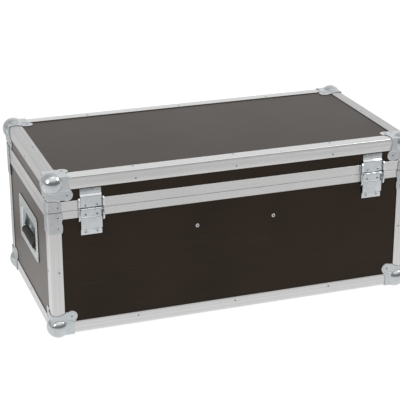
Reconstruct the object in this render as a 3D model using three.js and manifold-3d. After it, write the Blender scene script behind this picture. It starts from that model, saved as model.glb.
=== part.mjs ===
// Hard equipment case: plywood panels in an aluminium frame, zinc-plated steel
// ball corners and corner braces, two stop hinges, two recessed sprung handles
// and two recessed butterfly latches.
// Units mm. +X along the length, +Y from the hinge side to the latch side, +Z up.
// Left is -X, right is +X.
// Origin: centre of the underside, on the plane that the four base balls rest on.
import * as THREE from 'three';
import { mergeVertices } from 'three/addons/utils/BufferGeometryUtils.js';
import Module from 'manifold-3d';

const wasm = await Module();
wasm.setup();

// ---------------------------------------------------------------- driving dimensions
const LENGTH = 900;          // over the aluminium, X
const DEPTH = 450;           // over the aluminium, Y
const HEIGHT = 386.5;        // over the aluminium, Z
const FOOT = 10.5;           // aluminium underside above the resting plane
const SPLIT = 305;           // lid/base split above the aluminium underside
const SPLIT_GAP = 0.3;       // frame face to the split plane
const FITTING_GAP = 0.4;     // braces and latch dishes to the split plane
const GAP = 0.2;             // working gap between neighbouring pieces
const OVERLAP = 1;           // how far cutters and joined parts run past a face
const EDGE_WIDTH = 30;       // face width of the edge extrusions
const EDGE_R = 4;            // outer rounding of the extrusions
const PANEL_T = 7;           // plywood thickness
const PANEL_IN = 2;          // panel face below the aluminium face
const BASE_RIM = 19;         // height of the base half of the closing profile
const LID_RIM = 23.6;        // height of the lid half
const RIM_WEB = 3;           // web of the closing profile
const PLATE_T = 1.5;         // pressed steel of corners and braces

const HALF_LENGTH = LENGTH / 2;
const HALF_DEPTH = DEPTH / 2;
const BOTTOM = FOOT;         // aluminium underside
const TOP = FOOT + HEIGHT;   // aluminium top
const SPLIT_Z = FOOT + SPLIT;
const PANEL_X = HALF_LENGTH - PANEL_IN;  // outer faces of the side panels
const PANEL_Y = HALF_DEPTH - PANEL_IN;
const PLATE_OUT = GAP + PLATE_T;         // outer face of a steel plate, beyond the aluminium
const PLATE_DROP = PANEL_IN - GAP;       // back of a plate on a panel, below the aluminium face

const X = [1, 0, 0];
const Y = [0, 1, 0];
const Z = [0, 0, 1];
const times = (axis, factor) => axis.map((part) => part * factor);
const SIDES = [-1, 1];
const LEFT_RIGHT = [['left', -1], ['right', 1]];
const CORNERS = [  // name, side in X, side in Y
  ['hinge_left', -1, -1], ['hinge_right', 1, -1], ['latch_left', -1, 1], ['latch_right', 1, 1],
];

// ---------------------------------------------------------------- solids
// Closed, outward-facing manifold from a three.js geometry
function solid(geometry) {
  geometry.deleteAttribute('normal');
  geometry.deleteAttribute('uv');
  const merged = mergeVertices(geometry, 1e-4);
  const { position } = merged.attributes;
  const index = merged.index.array;
  const vertex = (i) => new THREE.Vector3().fromBufferAttribute(position, i);
  const triangles = [];
  let volume = 0;
  for (let i = 0; i < index.length; i += 3) {
    const [first, second, third] = index.slice(i, i + 3);
    if (first === second || second === third || first === third) continue;
    volume += vertex(first).dot(vertex(second).cross(vertex(third)));
    triangles.push([first, second, third]);
  }
  const outward = volume < 0
    ? triangles.map(([first, second, third]) => [first, third, second])
    : triangles;
  return new wasm.Manifold(new wasm.Mesh({
    numProp: 3,
    vertProperties: position.array,
    triVerts: new Uint32Array(outward.flat()),
  }));
}

function box(x0, x1, y0, y1, z0, z1) {
  const geometry = new THREE.BoxGeometry(x1 - x0, y1 - y0, z1 - z0);
  geometry.translate((x0 + x1) / 2, (y0 + y1) / 2, (z0 + z1) / 2);
  return solid(geometry);
}

// Outline drawn along the first two axes and pushed along the third
function prism(outline, from, to, axes, origin = [0, 0, 0]) {
  const shape = new THREE.Shape(outline.map((point) => new THREE.Vector2(...point)));
  const options = { depth: to - from, bevelEnabled: false, steps: 1 };
  const geometry = new THREE.ExtrudeGeometry(shape, options);
  geometry.translate(0, 0, from);
  const matrix = new THREE.Matrix4().makeBasis(...axes.map((axis) => new THREE.Vector3(...axis)));
  matrix.setPosition(...origin);
  return solid(geometry.applyMatrix4(matrix));
}

// Cylinder along X with its centre at (y, z), or along Y with its centre at (x, z)
function cylinder(axis, radius, from, to, [across, z], segments = 16) {
  const geometry = new THREE.CylinderGeometry(radius, radius, to - from, segments);
  const middle = (from + to) / 2;
  if (axis === 'x') geometry.rotateZ(-Math.PI / 2).translate(middle, across, z);
  else geometry.translate(across, middle, z);
  return solid(geometry);
}

// Round bar between two points
function rod(start, end, radius) {
  const from = new THREE.Vector3(...start);
  const to = new THREE.Vector3(...end);
  const run = to.clone().sub(from);
  const turn = new THREE.Quaternion()
    .setFromUnitVectors(new THREE.Vector3(...Y), run.clone().normalize());
  const geometry = new THREE.CylinderGeometry(radius, radius, run.length(), 8);
  geometry.applyQuaternion(turn);
  geometry.translate(...from.add(to).multiplyScalar(0.5).toArray());
  return solid(geometry);
}

function ball(centre, radius, widthSegments, heightSegments) {
  const geometry = new THREE.SphereGeometry(radius, widthSegments, heightSegments);
  return solid(geometry.translate(...centre));
}

// Range from near to far, mirrored about zero on the negative side
const span = (side, near, far) => (side > 0 ? [near, far] : [-far, -near]);

// Arc points from start to end, in degrees
function arc([x, y], radius, start, end, steps = 4) {
  const points = [];
  for (let i = 0; i <= steps; i++) points.push(polar(x, y, radius, start + (end - start) * i / steps));
  return points;
}
function polar(x, y, radius, degrees) {
  const angle = THREE.MathUtils.degToRad(degrees);
  return [x + radius * Math.cos(angle), y + radius * Math.sin(angle)];
}

// ---------------------------------------------------------------- materials and meshes
const MATERIALS = {
  panel: new THREE.MeshStandardMaterial({ color: 0x2c2624, roughness: 0.5, metalness: 0 }),
  aluminium: new THREE.MeshStandardMaterial({ color: 0xc6c6c4, roughness: 0.35, metalness: 0.9 }),
  zinc: new THREE.MeshStandardMaterial({ color: 0xbcc1c4, roughness: 0.32, metalness: 0.9 }),
  rubber: new THREE.MeshStandardMaterial({ color: 0x2a2422, roughness: 0.8, metalness: 0 }),
};
const root = new THREE.Group();

// Adds a mesh; the matrix is baked into the vertices
function put(name, shape, material, matrix = new THREE.Matrix4()) {
  const source = shape.getMesh();
  const index = new Uint32Array(source.triVerts);
  // a mirroring matrix turns the faces inside out, so their winding is swapped
  if (matrix.determinant() < 0) {
    for (let i = 0; i < index.length; i += 3) {
      [index[i + 1], index[i + 2]] = [index[i + 2], index[i + 1]];
    }
  }
  const vertices = new Float32Array(source.vertProperties);
  const geometry = new THREE.BufferGeometry();
  geometry.setAttribute('position', new THREE.BufferAttribute(vertices, 3));
  geometry.setIndex(new THREE.BufferAttribute(index, 1));
  geometry.applyMatrix4(matrix);
  geometry.computeVertexNormals();
  const mesh = new THREE.Mesh(geometry, MATERIALS[material]);
  mesh.name = name;
  root.add(mesh);
}

const shift = (x, y, z) => new THREE.Matrix4().makeTranslation(x, y, z);
const scale = (x, y, z) => new THREE.Matrix4().makeScale(x, y, z);
// Carries a part drawn inwards from a corner at zero to one corner of the case
const toCorner = (sideX, sideY, z = 0, up = 1) =>
  shift(sideX * HALF_LENGTH, sideY * HALF_DEPTH, z).multiply(scale(-sideX, -sideY, up));

// ---------------------------------------------------------------- handle and latch openings
const HANDLE_Z = BOTTOM + 191;                   // handle dish reference height
const HANDLE_HALF = 76;                          // handle recess half width, Y
const HANDLE_LOW = HANDLE_Z - 43;                // handle recess, bottom and top
const HANDLE_HIGH = HANDLE_Z + 23;
const HANDLE_DEPTH = 20;                         // recess depth behind the panel face
const DISH_WALL = 1.4;                           // wall of the handle and latch dishes
const LATCH_X = 235;                             // latch centres
const LATCH_HALF = 36;                           // latch recess half width, X
const LATCH_LOW = SPLIT_Z - 59.5;                // latch recess, bottom and top
const LATCH_HIGH = SPLIT_Z + 36.5;
const LATCH_FLOOR = HALF_DEPTH - 8;              // latch recess floor, Y
const LATCH_FLOOR_T = 1.2;

function handleOpening(side) {
  const margin = DISH_WALL + 0.4;
  return box(...span(side, PANEL_X - HANDLE_DEPTH, PANEL_X + OVERLAP),
    -HANDLE_HALF - margin, HANDLE_HALF + margin, HANDLE_LOW - margin, HANDLE_HIGH + margin);
}
function cutLatchOpenings(shape) {
  const halfWidth = LATCH_HALF + DISH_WALL + 0.5;
  const marginZ = DISH_WALL + 0.6;
  const opening = (x) => box(x - halfWidth, x + halfWidth,
    LATCH_FLOOR - LATCH_FLOOR_T - GAP, HALF_DEPTH + OVERLAP,
    LATCH_LOW - marginZ, LATCH_HIGH + marginZ);
  return shape.subtract(opening(-LATCH_X)).subtract(opening(LATCH_X));
}

// ---------------------------------------------------------------- panels
const FLOOR_PANEL = [BOTTOM + PANEL_IN, BOTTOM + PANEL_IN + PANEL_T];
const TOP_PANEL = [TOP - PANEL_IN - PANEL_T, TOP - PANEL_IN];
const RIM_CLEAR = SPLIT_GAP + RIM_WEB + GAP;     // upright panels end at the rim web
const BASE_SPAN = [FLOOR_PANEL[1] + GAP, SPLIT_Z - RIM_CLEAR];
const LID_SPAN = [SPLIT_Z + RIM_CLEAR, TOP_PANEL[0] - GAP];

const flatPanel = (heights) => box(-PANEL_X, PANEL_X, -PANEL_Y, PANEL_Y, ...heights);
const longPanel = (side, heights) =>
  box(-PANEL_X, PANEL_X, ...span(side, PANEL_Y - PANEL_T, PANEL_Y), ...heights);
function endPanel(side, heights) {
  const halfWidth = PANEL_Y - PANEL_T - GAP;     // fits between the long panels
  return box(...span(side, PANEL_X - PANEL_T, PANEL_X), -halfWidth, halfWidth, ...heights);
}

put('base_bottom_panel', flatPanel(FLOOR_PANEL), 'panel');
put('lid_top_panel', flatPanel(TOP_PANEL), 'panel');
for (const [half, heights] of [['base', BASE_SPAN], ['lid', LID_SPAN]]) {
  put(`${half}_hinge_side_panel`, longPanel(-1, heights), 'panel');
  put(`${half}_latch_side_panel`, cutLatchOpenings(longPanel(1, heights)), 'panel');
}
for (const [name, side] of LEFT_RIGHT) {
  const basePanel = endPanel(side, BASE_SPAN).subtract(handleOpening(side));
  put(`base_${name}_panel`, basePanel, 'panel');
  put(`lid_${name}_panel`, endPanel(side, LID_SPAN), 'panel');
}

// ---------------------------------------------------------------- edge extrusions
const EDGE_T = 1.8;          // wall
const CORNER_GAP = 31;       // extrusions stop this far from the box corner
const POST_GAP = 0.3;        // post top to the closing frame

// Angle section with its rounded outer corner at zero
const ANGLE = [
  [EDGE_WIDTH, 0], [EDGE_WIDTH, EDGE_T], [EDGE_T, EDGE_T], [EDGE_T, EDGE_WIDTH], [0, EDGE_WIDTH],
  ...arc([EDGE_R, EDGE_R], EDGE_R, 180, 270),
];
// Horizontal extrusion, centred along its axis; inward points from the edge into the case
function edge(halfRun, inward, up, along, origin) {
  const end = halfRun - CORNER_GAP;
  return prism(ANGLE, -end, end, [inward, times(Z, up), along], origin);
}
for (const [half, z, up] of [['base', BOTTOM, 1], ['lid', TOP, -1]]) {
  for (const [name, side] of [['hinge_side', -1], ['latch_side', 1]]) {
    const shape = edge(HALF_LENGTH, times(Y, -side), up, X, [0, side * HALF_DEPTH, z]);
    put(`${half}_edge_${name}`, shape, 'aluminium');
  }
  for (const [name, side] of LEFT_RIGHT) {
    const shape = edge(HALF_DEPTH, times(X, -side), up, Y, [side * HALF_LENGTH, 0, z]);
    put(`${half}_edge_${name}`, shape, 'aluminium');
  }
}
for (const [name, sideX, sideY] of CORNERS) {
  const post = prism(ANGLE, BOTTOM + CORNER_GAP, SPLIT_Z - BASE_RIM - POST_GAP,
    [times(X, -sideX), times(Y, -sideY), Z], [sideX * HALF_LENGTH, sideY * HALF_DEPTH, 0]);
  put(`base_post_${name}`, post, 'aluminium');
}

// ---------------------------------------------------------------- closing profile
const RIM_DEPTH = 11;                            // depth of the profile into the case
const SLOT = [PANEL_IN - GAP, RIM_DEPTH - 1.3];  // panel slot, outer and inner inset
const TONGUE = { outer: 4.4, inner: 6.0, depth: 1.7 };
const GROOVE = { outer: TONGUE.outer - 0.8, inner: TONGUE.inner + 0.8, depth: 2.2 };

function roundedPlan() {
  const x = HALF_LENGTH - EDGE_R;
  const y = HALF_DEPTH - EDGE_R;
  return [[x, y], [-x, y], [-x, -y], [x, -y]]
    .flatMap((centre, i) => arc(centre, EDGE_R, 90 * i, 90 * i + 90));
}
const insetBox = (inset, z0, z1) => box(-HALF_LENGTH + inset, HALF_LENGTH - inset,
  -HALF_DEPTH + inset, HALF_DEPTH - inset, z0, z1);
const ring = (outer, inner, z0, z1) =>
  insetBox(outer, z0, z1).subtract(insetBox(inner, z0 - OVERLAP, z1 + OVERLAP));
const rimBody = (z0, z1) => prism(roundedPlan(), z0, z1, [X, Y, Z])
  .subtract(insetBox(RIM_DEPTH, z0 - OVERLAP, z1 + OVERLAP));

function baseFrame() {
  const z0 = SPLIT_Z - BASE_RIM;
  const z1 = SPLIT_Z - SPLIT_GAP;
  return cutLatchOpenings(rimBody(z0, z1)
    .subtract(ring(...SLOT, z0 - OVERLAP, z1 - RIM_WEB))
    .subtract(ring(GROOVE.outer, GROOVE.inner, SPLIT_Z - GROOVE.depth, SPLIT_Z + OVERLAP)));
}
function lidFrame() {
  const z0 = SPLIT_Z + SPLIT_GAP;
  const z1 = SPLIT_Z + LID_RIM;
  return cutLatchOpenings(rimBody(z0, z1)
    .subtract(ring(...SLOT, z0 + RIM_WEB, z1 + OVERLAP))
    .add(ring(TONGUE.outer, TONGUE.inner, SPLIT_Z - TONGUE.depth, SPLIT_Z + OVERLAP)));
}
put('base_closing_frame', baseFrame(), 'aluminium');
put('lid_closing_frame', lidFrame(), 'aluminium');

// ---------------------------------------------------------------- ball corners
// Drawn with x, y and z running inwards from the three outer faces of one box corner
const BALL_R = 27;
const BALL_IN = 16;          // ball centre, inside each outer face
const FAR = 99;              // beyond every part of a corner
const RIM_REACH = EDGE_WIDTH + 0.4;              // plates lie on the aluminium up to here
const FACES = [[X, Z, times(Y, -1)], [Y, Z, times(X, -1)], [X, Y, times(Z, -1)]];

// Plate outline: distances inwards from the two neighbouring faces
const CORNER_OUTLINE = [
  [-PLATE_OUT, -PLATE_OUT], [51.6, -PLATE_OUT], [49, 14], [52.5, 27], [57.2, 34.2],
  ...[-25, 0, 22, 45, 68, 92, 116].map((degrees) => polar(46, 43.5, 14, degrees)),
  [27, 52], [15, 47.5], [-PLATE_OUT, 51.6],
];
// Plate on the aluminium that steps down onto the panel away from the two edges
function cornerPlate(axes) {
  const block = (u0, u1, v0, v1, w0, w1) =>
    prism([[u0, v0], [u1, v0], [u1, v1], [u0, v1]], w0, w1, axes);
  const stepped = RIM_REACH + PLATE_T;
  return prism(CORNER_OUTLINE, -PLATE_DROP, PLATE_OUT, axes)
    .subtract(block(-9, RIM_REACH, -9, FAR, -3, GAP))
    .subtract(block(-9, FAR, -9, RIM_REACH, -3, GAP))
    .subtract(block(stepped, FAR, stepped, FAR, PLATE_T - PLATE_DROP, 9));
}
function ballCorner() {
  const shell = ball([BALL_IN, BALL_IN, BALL_IN], BALL_R, 20, 12)
    .subtract(box(-GAP, FAR, -GAP, FAR, -GAP, FAR));
  return FACES.reduce((shape, axes) => shape.add(cornerPlate(axes)), shell);
}
const LID_CORNER = ballCorner();
// Base balls are cut flat on the resting plane
const BASE_CORNER = LID_CORNER.subtract(box(-50, FAR, -50, FAR, -50, -FOOT));

for (const [name, sideX, sideY] of CORNERS) {
  put(`base_ball_corner_${name}`, BASE_CORNER, 'zinc', toCorner(sideX, sideY, BOTTOM));
  put(`lid_ball_corner_${name}`, LID_CORNER, 'zinc', toCorner(sideX, sideY, TOP, -1));
}

// ---------------------------------------------------------------- corner braces at the split
// Outlines: distance inwards from the box corner, height from the split plane
const BASE_BRACE = [
  [-PLATE_OUT, -52], [31, -52], [33.5, -39], [33.5, -35], [31.8, -26],
  [33.5, -6 - FITTING_GAP], [33.5, -FITTING_GAP], [-PLATE_OUT, -FITTING_GAP],
];
const LID_BRACE = [
  [-PLATE_OUT, FITTING_GAP], [31, FITTING_GAP], [31, 19], [27, 24.5], [21, 27], [-PLATE_OUT, 27],
];
function brace(outline) {
  const [onLong, onEnd] = FACES.slice(0, 2)
    .map((axes) => prism(outline, GAP, PLATE_OUT, axes, [0, 0, SPLIT_Z]));
  return onLong.add(onEnd);
}
for (const [name, sideX, sideY] of CORNERS) {
  put(`base_brace_${name}`, brace(BASE_BRACE), 'zinc', toCorner(sideX, sideY));
  put(`lid_brace_${name}`, brace(LID_BRACE), 'zinc', toCorner(sideX, sideY));
}

// ---------------------------------------------------------------- stop hinges
// Drawn with x = 0 at the hinge centre
const HINGE_X = 350;                             // hinge centres
const PIN_Y = -HALF_DEPTH - 4.3;                 // pin axis, on the split plane
const PIN_R = 1.2;
const PIN_HALF = 30.6;                           // half length of the pin
const BORE_R = 1.36;
const KNUCKLE_R = 2.7;
const EYE_R = 4;                                 // flange eye round the pin
const LEAF_HALF = 24.75;                         // half width of the hinge plates
const FLANGE_T = 1.4;
const LID_FLANGE = 26.8;                         // inner faces of the side flanges, X
const BASE_FLANGE = 28.5;
const HINGE_HALF = BASE_FLANGE + FLANGE_T;
const ON_RIM = -HALF_DEPTH - GAP;                // back of a plate on the aluminium, Y
const ON_PANEL = -PANEL_Y - GAP;                 // back of a plate on the panel, Y
const STRIP_OUT = ON_PANEL - 1.4;                // outer face of the strip on the panel, Y

// Side profiles: y, height from the split plane
const LID_LEAF = {
  plate: [
    [ON_RIM, 4.2], [ON_RIM, 27.5], [ON_RIM, 30], [ON_PANEL, 36.2], [ON_PANEL, 49.7],
    [STRIP_OUT, 49.7], [STRIP_OUT, 36.6], [ON_RIM - 2.5, 30.6], [ON_RIM - 2.5, 4.2],
  ],
  web: [
    [ON_RIM - 2.5, 4.6], [ON_RIM, 4.6], [ON_RIM, 1.2], [PIN_Y + 1, 0.9], [PIN_Y - 1.2, 2.3],
  ],
  flange: [
    [ON_RIM, 3], [ON_RIM, 28], [ON_RIM - 3.6, 28], [PIN_Y - 3.2, 23.5], [PIN_Y - 3.4, 3],
    [PIN_Y, 1],
  ],
};
const BASE_LEAF = {
  plate: [
    [ON_RIM, -4.2], [ON_RIM, -18.4], [ON_RIM - 2.4, -20.4], [ON_RIM - 2.4, -46.6],
    [ON_PANEL, -50.4], [ON_PANEL, -62.7], [STRIP_OUT, -62.7], [STRIP_OUT, -50.8],
    [ON_RIM - 3.8, -47.4], [ON_RIM - 3.8, -19.6], [ON_RIM - 2.2, -17.6], [ON_RIM - 2.2, -4.2],
  ],
  web: [
    [ON_RIM - 2.2, -4.6], [ON_RIM, -4.6], [ON_RIM, -1.2], [PIN_Y + 1, -0.9], [PIN_Y - 1.2, -2.3],
  ],
  flange: [
    [ON_RIM, -3], [ON_RIM, -26], [ON_RIM - 2.2, -28.5], [PIN_Y - 0.6, -26],
    [PIN_Y - 3.1, -20.5], [PIN_Y - 3.1, -3], [PIN_Y, -1],
  ],
};
const sheet = (profile, x0, x1) => prism(profile, x0, x1, [Y, Z, X], [0, 0, SPLIT_Z]);
const aroundPin = (radius, x0, x1) => cylinder('x', radius, x0, x1, [PIN_Y, SPLIT_Z]);
const boreForPin = (leaf) =>
  leaf.subtract(aroundPin(BORE_R, -HINGE_HALF - OVERLAP, HINGE_HALF + OVERLAP));
const addKnuckle = (leaf, web, range) =>
  leaf.add(sheet(web, ...range)).add(aroundPin(KNUCKLE_R, ...range));
const addFlange = (leaf, flange, range) =>
  leaf.add(sheet(flange, ...range)).add(aroundPin(EYE_R, ...range));

function hingeLidLeaf() {
  let leaf = sheet(LID_LEAF.plate, -LEAF_HALF, LEAF_HALF);
  for (const side of SIDES) leaf = addKnuckle(leaf, LID_LEAF.web, span(side, 9.2, LEAF_HALF));
  for (const side of SIDES) {
    leaf = addFlange(leaf, LID_LEAF.flange, span(side, LID_FLANGE, LID_FLANGE + FLANGE_T));
    const stopLug = box(...span(side, LID_FLANGE, HINGE_HALF),
      PIN_Y - 5.2, PIN_Y - 3.1, SPLIT_Z + 4.4, SPLIT_Z + 6.2);
    leaf = leaf.add(stopLug);
  }
  const halfWidth = LID_FLANGE + FLANGE_T;
  const backing = box(-halfWidth, halfWidth, ON_RIM - 1.1, ON_RIM, SPLIT_Z + 5, SPLIT_Z + 27.9);
  return boreForPin(leaf.add(backing));
}
function hingeBaseLeaf() {
  let leaf = sheet(BASE_LEAF.plate, -LEAF_HALF, LEAF_HALF);
  leaf = addKnuckle(leaf, BASE_LEAF.web, [-8.8, 8.8]);
  for (const side of SIDES) {
    leaf = addFlange(leaf, BASE_LEAF.flange, span(side, BASE_FLANGE, HINGE_HALF));
  }
  const backing = box(-HINGE_HALF, HINGE_HALF, ON_RIM - 1.1, ON_RIM, SPLIT_Z - 26, SPLIT_Z - 5);
  return boreForPin(leaf.add(backing));
}
for (const [name, side] of LEFT_RIGHT) {
  const place = shift(side * HINGE_X, 0, 0);
  put(`hinge_${name}_lid_leaf`, hingeLidLeaf(), 'zinc', place);
  put(`hinge_${name}_base_leaf`, hingeBaseLeaf(), 'zinc', place);
  put(`hinge_${name}_pin`, aroundPin(PIN_R, -PIN_HALF, PIN_HALF), 'zinc', place);
}

// ---------------------------------------------------------------- recessed sprung handles
// Drawn at the left end; the right end mirrors it
const PIVOT = [-HALF_LENGTH + 11, BOTTOM + 205]; // bail pivot axis, x and z
const GRIP = [-HALF_LENGTH + 4, BOTTOM + 160];   // grip axis, x and z
const ROD_R = 3.4;
const GRIP_R = 9.8;
const GRIP_HALF = 58;                            // half length of the grip
const ARM_Y = 71;                                // bail arms

function handleFlangeOutline() {
  const [halfWidth, chamfer] = [98, 6];
  const [low, high] = [HANDLE_Z - 61, HANDLE_Z + 51];
  const flat = halfWidth - chamfer;
  return [
    [-halfWidth, low + chamfer], [-flat, low], [flat, low], [halfWidth, low + chamfer],
    [halfWidth, high - chamfer], [flat, high], [-flat, high], [-halfWidth, high - chamfer],
  ];
}
function handleDish() {
  const flangeBack = PANEL_X + GAP;
  const flangeFront = flangeBack + 1.6;
  const floor = -PANEL_X + HANDLE_DEPTH;
  const tray = (x0, x1, wall) => box(x0, x1, -HANDLE_HALF - wall, HANDLE_HALF + wall,
    HANDLE_LOW - wall, HANDLE_HIGH + wall);
  const boreHalf = HANDLE_HALF + DISH_WALL + OVERLAP;
  return prism(handleFlangeOutline(), flangeBack, flangeFront, [Y, Z, times(X, -1)])
    .add(tray(-flangeBack - OVERLAP, floor + DISH_WALL, DISH_WALL))
    .subtract(tray(-flangeFront - OVERLAP, floor, 0))
    .subtract(cylinder('y', ROD_R + 0.35, -boreHalf, boreHalf, PIVOT, 12));
}
function handleBail() {
  let bail = cylinder('y', GRIP_R, -GRIP_HALF, GRIP_HALF, GRIP)
    .add(cylinder('y', ROD_R, -ARM_Y, ARM_Y, GRIP, 8));
  for (const side of SIDES) {
    const [gripEnd, pivotEnd] = [GRIP, PIVOT].map(([x, z]) => [x, side * ARM_Y, z]);
    bail = bail.add(rod(gripEnd, pivotEnd, ROD_R))
      .add(ball(gripEnd, ROD_R, 8, 6))
      .add(ball(pivotEnd, ROD_R, 8, 6))
      .add(cylinder('y', ROD_R, ...span(side, ARM_Y, HANDLE_HALF + 1.2), PIVOT, 8));
  }
  return bail;
}
for (const [name, side] of LEFT_RIGHT) {
  const place = scale(-side, 1, 1);
  put(`handle_${name}_dish`, handleDish(), 'zinc', place);
  put(`handle_${name}_bail`, handleBail(), 'rubber', place);
}

// ---------------------------------------------------------------- recessed butterfly latches
// Drawn with x = 0 at the latch centre
const FLANGE_BACK = HALF_DEPTH + GAP;            // back of the flange on the aluminium, Y
const FLANGE_FRONT = FLANGE_BACK + 1.3;
const FLANGE_HALF = 52;                          // half width of the flange
const DISC_Z = SPLIT_Z - 32.5;
const WING_PIN = [LATCH_FLOOR + 6.7, DISC_Z];    // wing pin axis, y and z
const WING_HALF_T = 0.8;
const HOOK_Y = LATCH_FLOOR + 4.3;                // hook pivot
const HOOK_Z = SPLIT_Z - 12.5;
const HOOK_LEAN = THREE.MathUtils.degToRad(14);  // leans out, with the latch released

// Each argument is a [bottom, top] pair of heights
function latchDish({ flange, tray, skirt, skirtOpening, recess }) {
  const trayHalf = LATCH_HALF + DISH_WALL;
  const openHalf = FLANGE_HALF - DISH_WALL;
  const skirtWalls = box(-FLANGE_HALF, FLANGE_HALF, PANEL_Y + GAP, FLANGE_FRONT, ...skirt)
    .subtract(box(-openHalf, openHalf, PANEL_Y - OVERLAP, HALF_DEPTH + 0.5, ...skirtOpening));
  return box(-FLANGE_HALF, FLANGE_HALF, FLANGE_BACK, FLANGE_FRONT, ...flange)
    .add(box(-trayHalf, trayHalf, LATCH_FLOOR - LATCH_FLOOR_T, FLANGE_FRONT, ...tray))
    .add(skirtWalls)
    .subtract(box(-LATCH_HALF, LATCH_HALF, LATCH_FLOOR, FLANGE_FRONT + OVERLAP, ...recess));
}
function latchBaseDish() {
  const low = SPLIT_Z - 71;
  const high = SPLIT_Z - FITTING_GAP;
  const rim = SPLIT_Z - BASE_RIM;
  const [earIn, earOut] = [9.6, 11.4];
  let dish = latchDish({
    flange: [low, high],
    tray: [LATCH_LOW - DISH_WALL, high],
    skirt: [low, rim - 0.4],
    skirtOpening: [low + DISH_WALL, rim + 5],
    recess: [LATCH_LOW, high + OVERLAP],
  });
  dish = dish.subtract(cylinder('y', 4.4,
    LATCH_FLOOR - LATCH_FLOOR_T - OVERLAP, LATCH_FLOOR + OVERLAP, [0, DISC_Z]));
  for (const side of SIDES) {
    dish = dish.add(box(...span(side, earIn, earOut),
      LATCH_FLOOR - 0.5, HOOK_Y + 2.4, HOOK_Z - 3, HOOK_Z + 3));
  }
  const boreHalf = earOut + OVERLAP;
  return dish.subtract(cylinder('x', 1.2, -boreHalf, boreHalf, [HOOK_Y, HOOK_Z], 12));
}
function latchLidDish() {
  const low = SPLIT_Z + FITTING_GAP;
  const high = SPLIT_Z + 49;
  const rim = SPLIT_Z + LID_RIM;
  const crossBar = box(-14, 14, LATCH_FLOOR - 0.5, HOOK_Y, SPLIT_Z + 13.5, SPLIT_Z + 16.5);
  return latchDish({
    flange: [low, high],
    tray: [low, LATCH_HIGH + DISH_WALL],
    skirt: [rim + 0.4, high],
    skirtOpening: [rim - 5, high - DISH_WALL],
    recess: [low - OVERLAP, LATCH_HIGH],
  }).add(crossBar);
}
// Disc on a stub, with two lugs for the wing pin
function latchDisc() {
  const [lugIn, lugOut] = [10, 12];
  let disc = cylinder('y', 15.5, LATCH_FLOOR + 2.5, LATCH_FLOOR + 5.3, [0, DISC_Z], 32)
    .add(cylinder('y', 4, LATCH_FLOOR - 1, LATCH_FLOOR + 3, [0, DISC_Z]));
  for (const side of SIDES) {
    disc = disc.add(box(...span(side, lugIn, lugOut),
      LATCH_FLOOR + 5, LATCH_FLOOR + 8, DISC_Z - 1.5, DISC_Z + 1.5));
  }
  const boreHalf = lugOut + OVERLAP;
  return disc.subtract(cylinder('x', 0.8, -boreHalf, boreHalf, WING_PIN, 8));
}
// Half-round wing hanging from its pin
function latchWing() {
  const neck = 9.5;
  const rounded = [];
  for (let i = 1; i <= 9; i++) {
    const angle = Math.PI + Math.PI * i / 10;
    rounded.push([14 * Math.cos(angle), 14.5 * Math.sin(angle)]);
  }
  const outline = [[-neck, 0], [-neck, -2], ...rounded, [neck, -2], [neck, 0]];
  const [pinY] = WING_PIN;
  return prism(outline, pinY - WING_HALF_T, pinY + WING_HALF_T, [X, Z, Y], [0, 0, DISC_Z])
    .add(cylinder('x', 1.15, -9.6, 9.6, WING_PIN, 12))
    .add(cylinder('x', 0.6, -11.8, 11.8, WING_PIN, 8));
}
// Upright hook: barrel, pivot pin, arm and claw
function latchHook() {
  const tip = SPLIT_Z + 19;
  return cylinder('x', 2, -8.6, 8.6, [HOOK_Y, HOOK_Z])
    .add(cylinder('x', 1, -11.2, 11.2, [HOOK_Y, HOOK_Z], 12))
    .add(box(-8, 8, HOOK_Y + 0.4, HOOK_Y + 1.9, HOOK_Z, tip))
    .add(box(-8, 8, HOOK_Y - 2.7, HOOK_Y + 1.9, tip - 1.9, tip));
}
for (const [name, side] of LEFT_RIGHT) {
  const place = shift(side * LATCH_X, 0, 0);
  const leaning = shift(side * LATCH_X, HOOK_Y, HOOK_Z)
    .multiply(new THREE.Matrix4().makeRotationX(-HOOK_LEAN))
    .multiply(shift(0, -HOOK_Y, -HOOK_Z));
  put(`latch_${name}_base_dish`, latchBaseDish(), 'zinc', place);
  put(`latch_${name}_lid_dish`, latchLidDish(), 'zinc', place);
  put(`latch_${name}_disc`, latchDisc(), 'zinc', place);
  put(`latch_${name}_wing`, latchWing(), 'zinc', place);
  put(`latch_${name}_hook`, latchHook(), 'zinc', leaning);
}

export default root;
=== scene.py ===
"""A flight case: film-faced panels in aluminium extrusions, with zinc-plated ball corners,
two hinges, two latches and a recessed handle at each end.

It stands on z = 0, centred on x = y = 0. Hinges are on the -Y side, latches on the +Y side,
handles at -X (left) and +X (right). Shapes are worked out in mm and stored in metres.
"""
import bpy
import bmesh
import math
import numpy as np
from mathutils import Vector, Matrix


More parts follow.
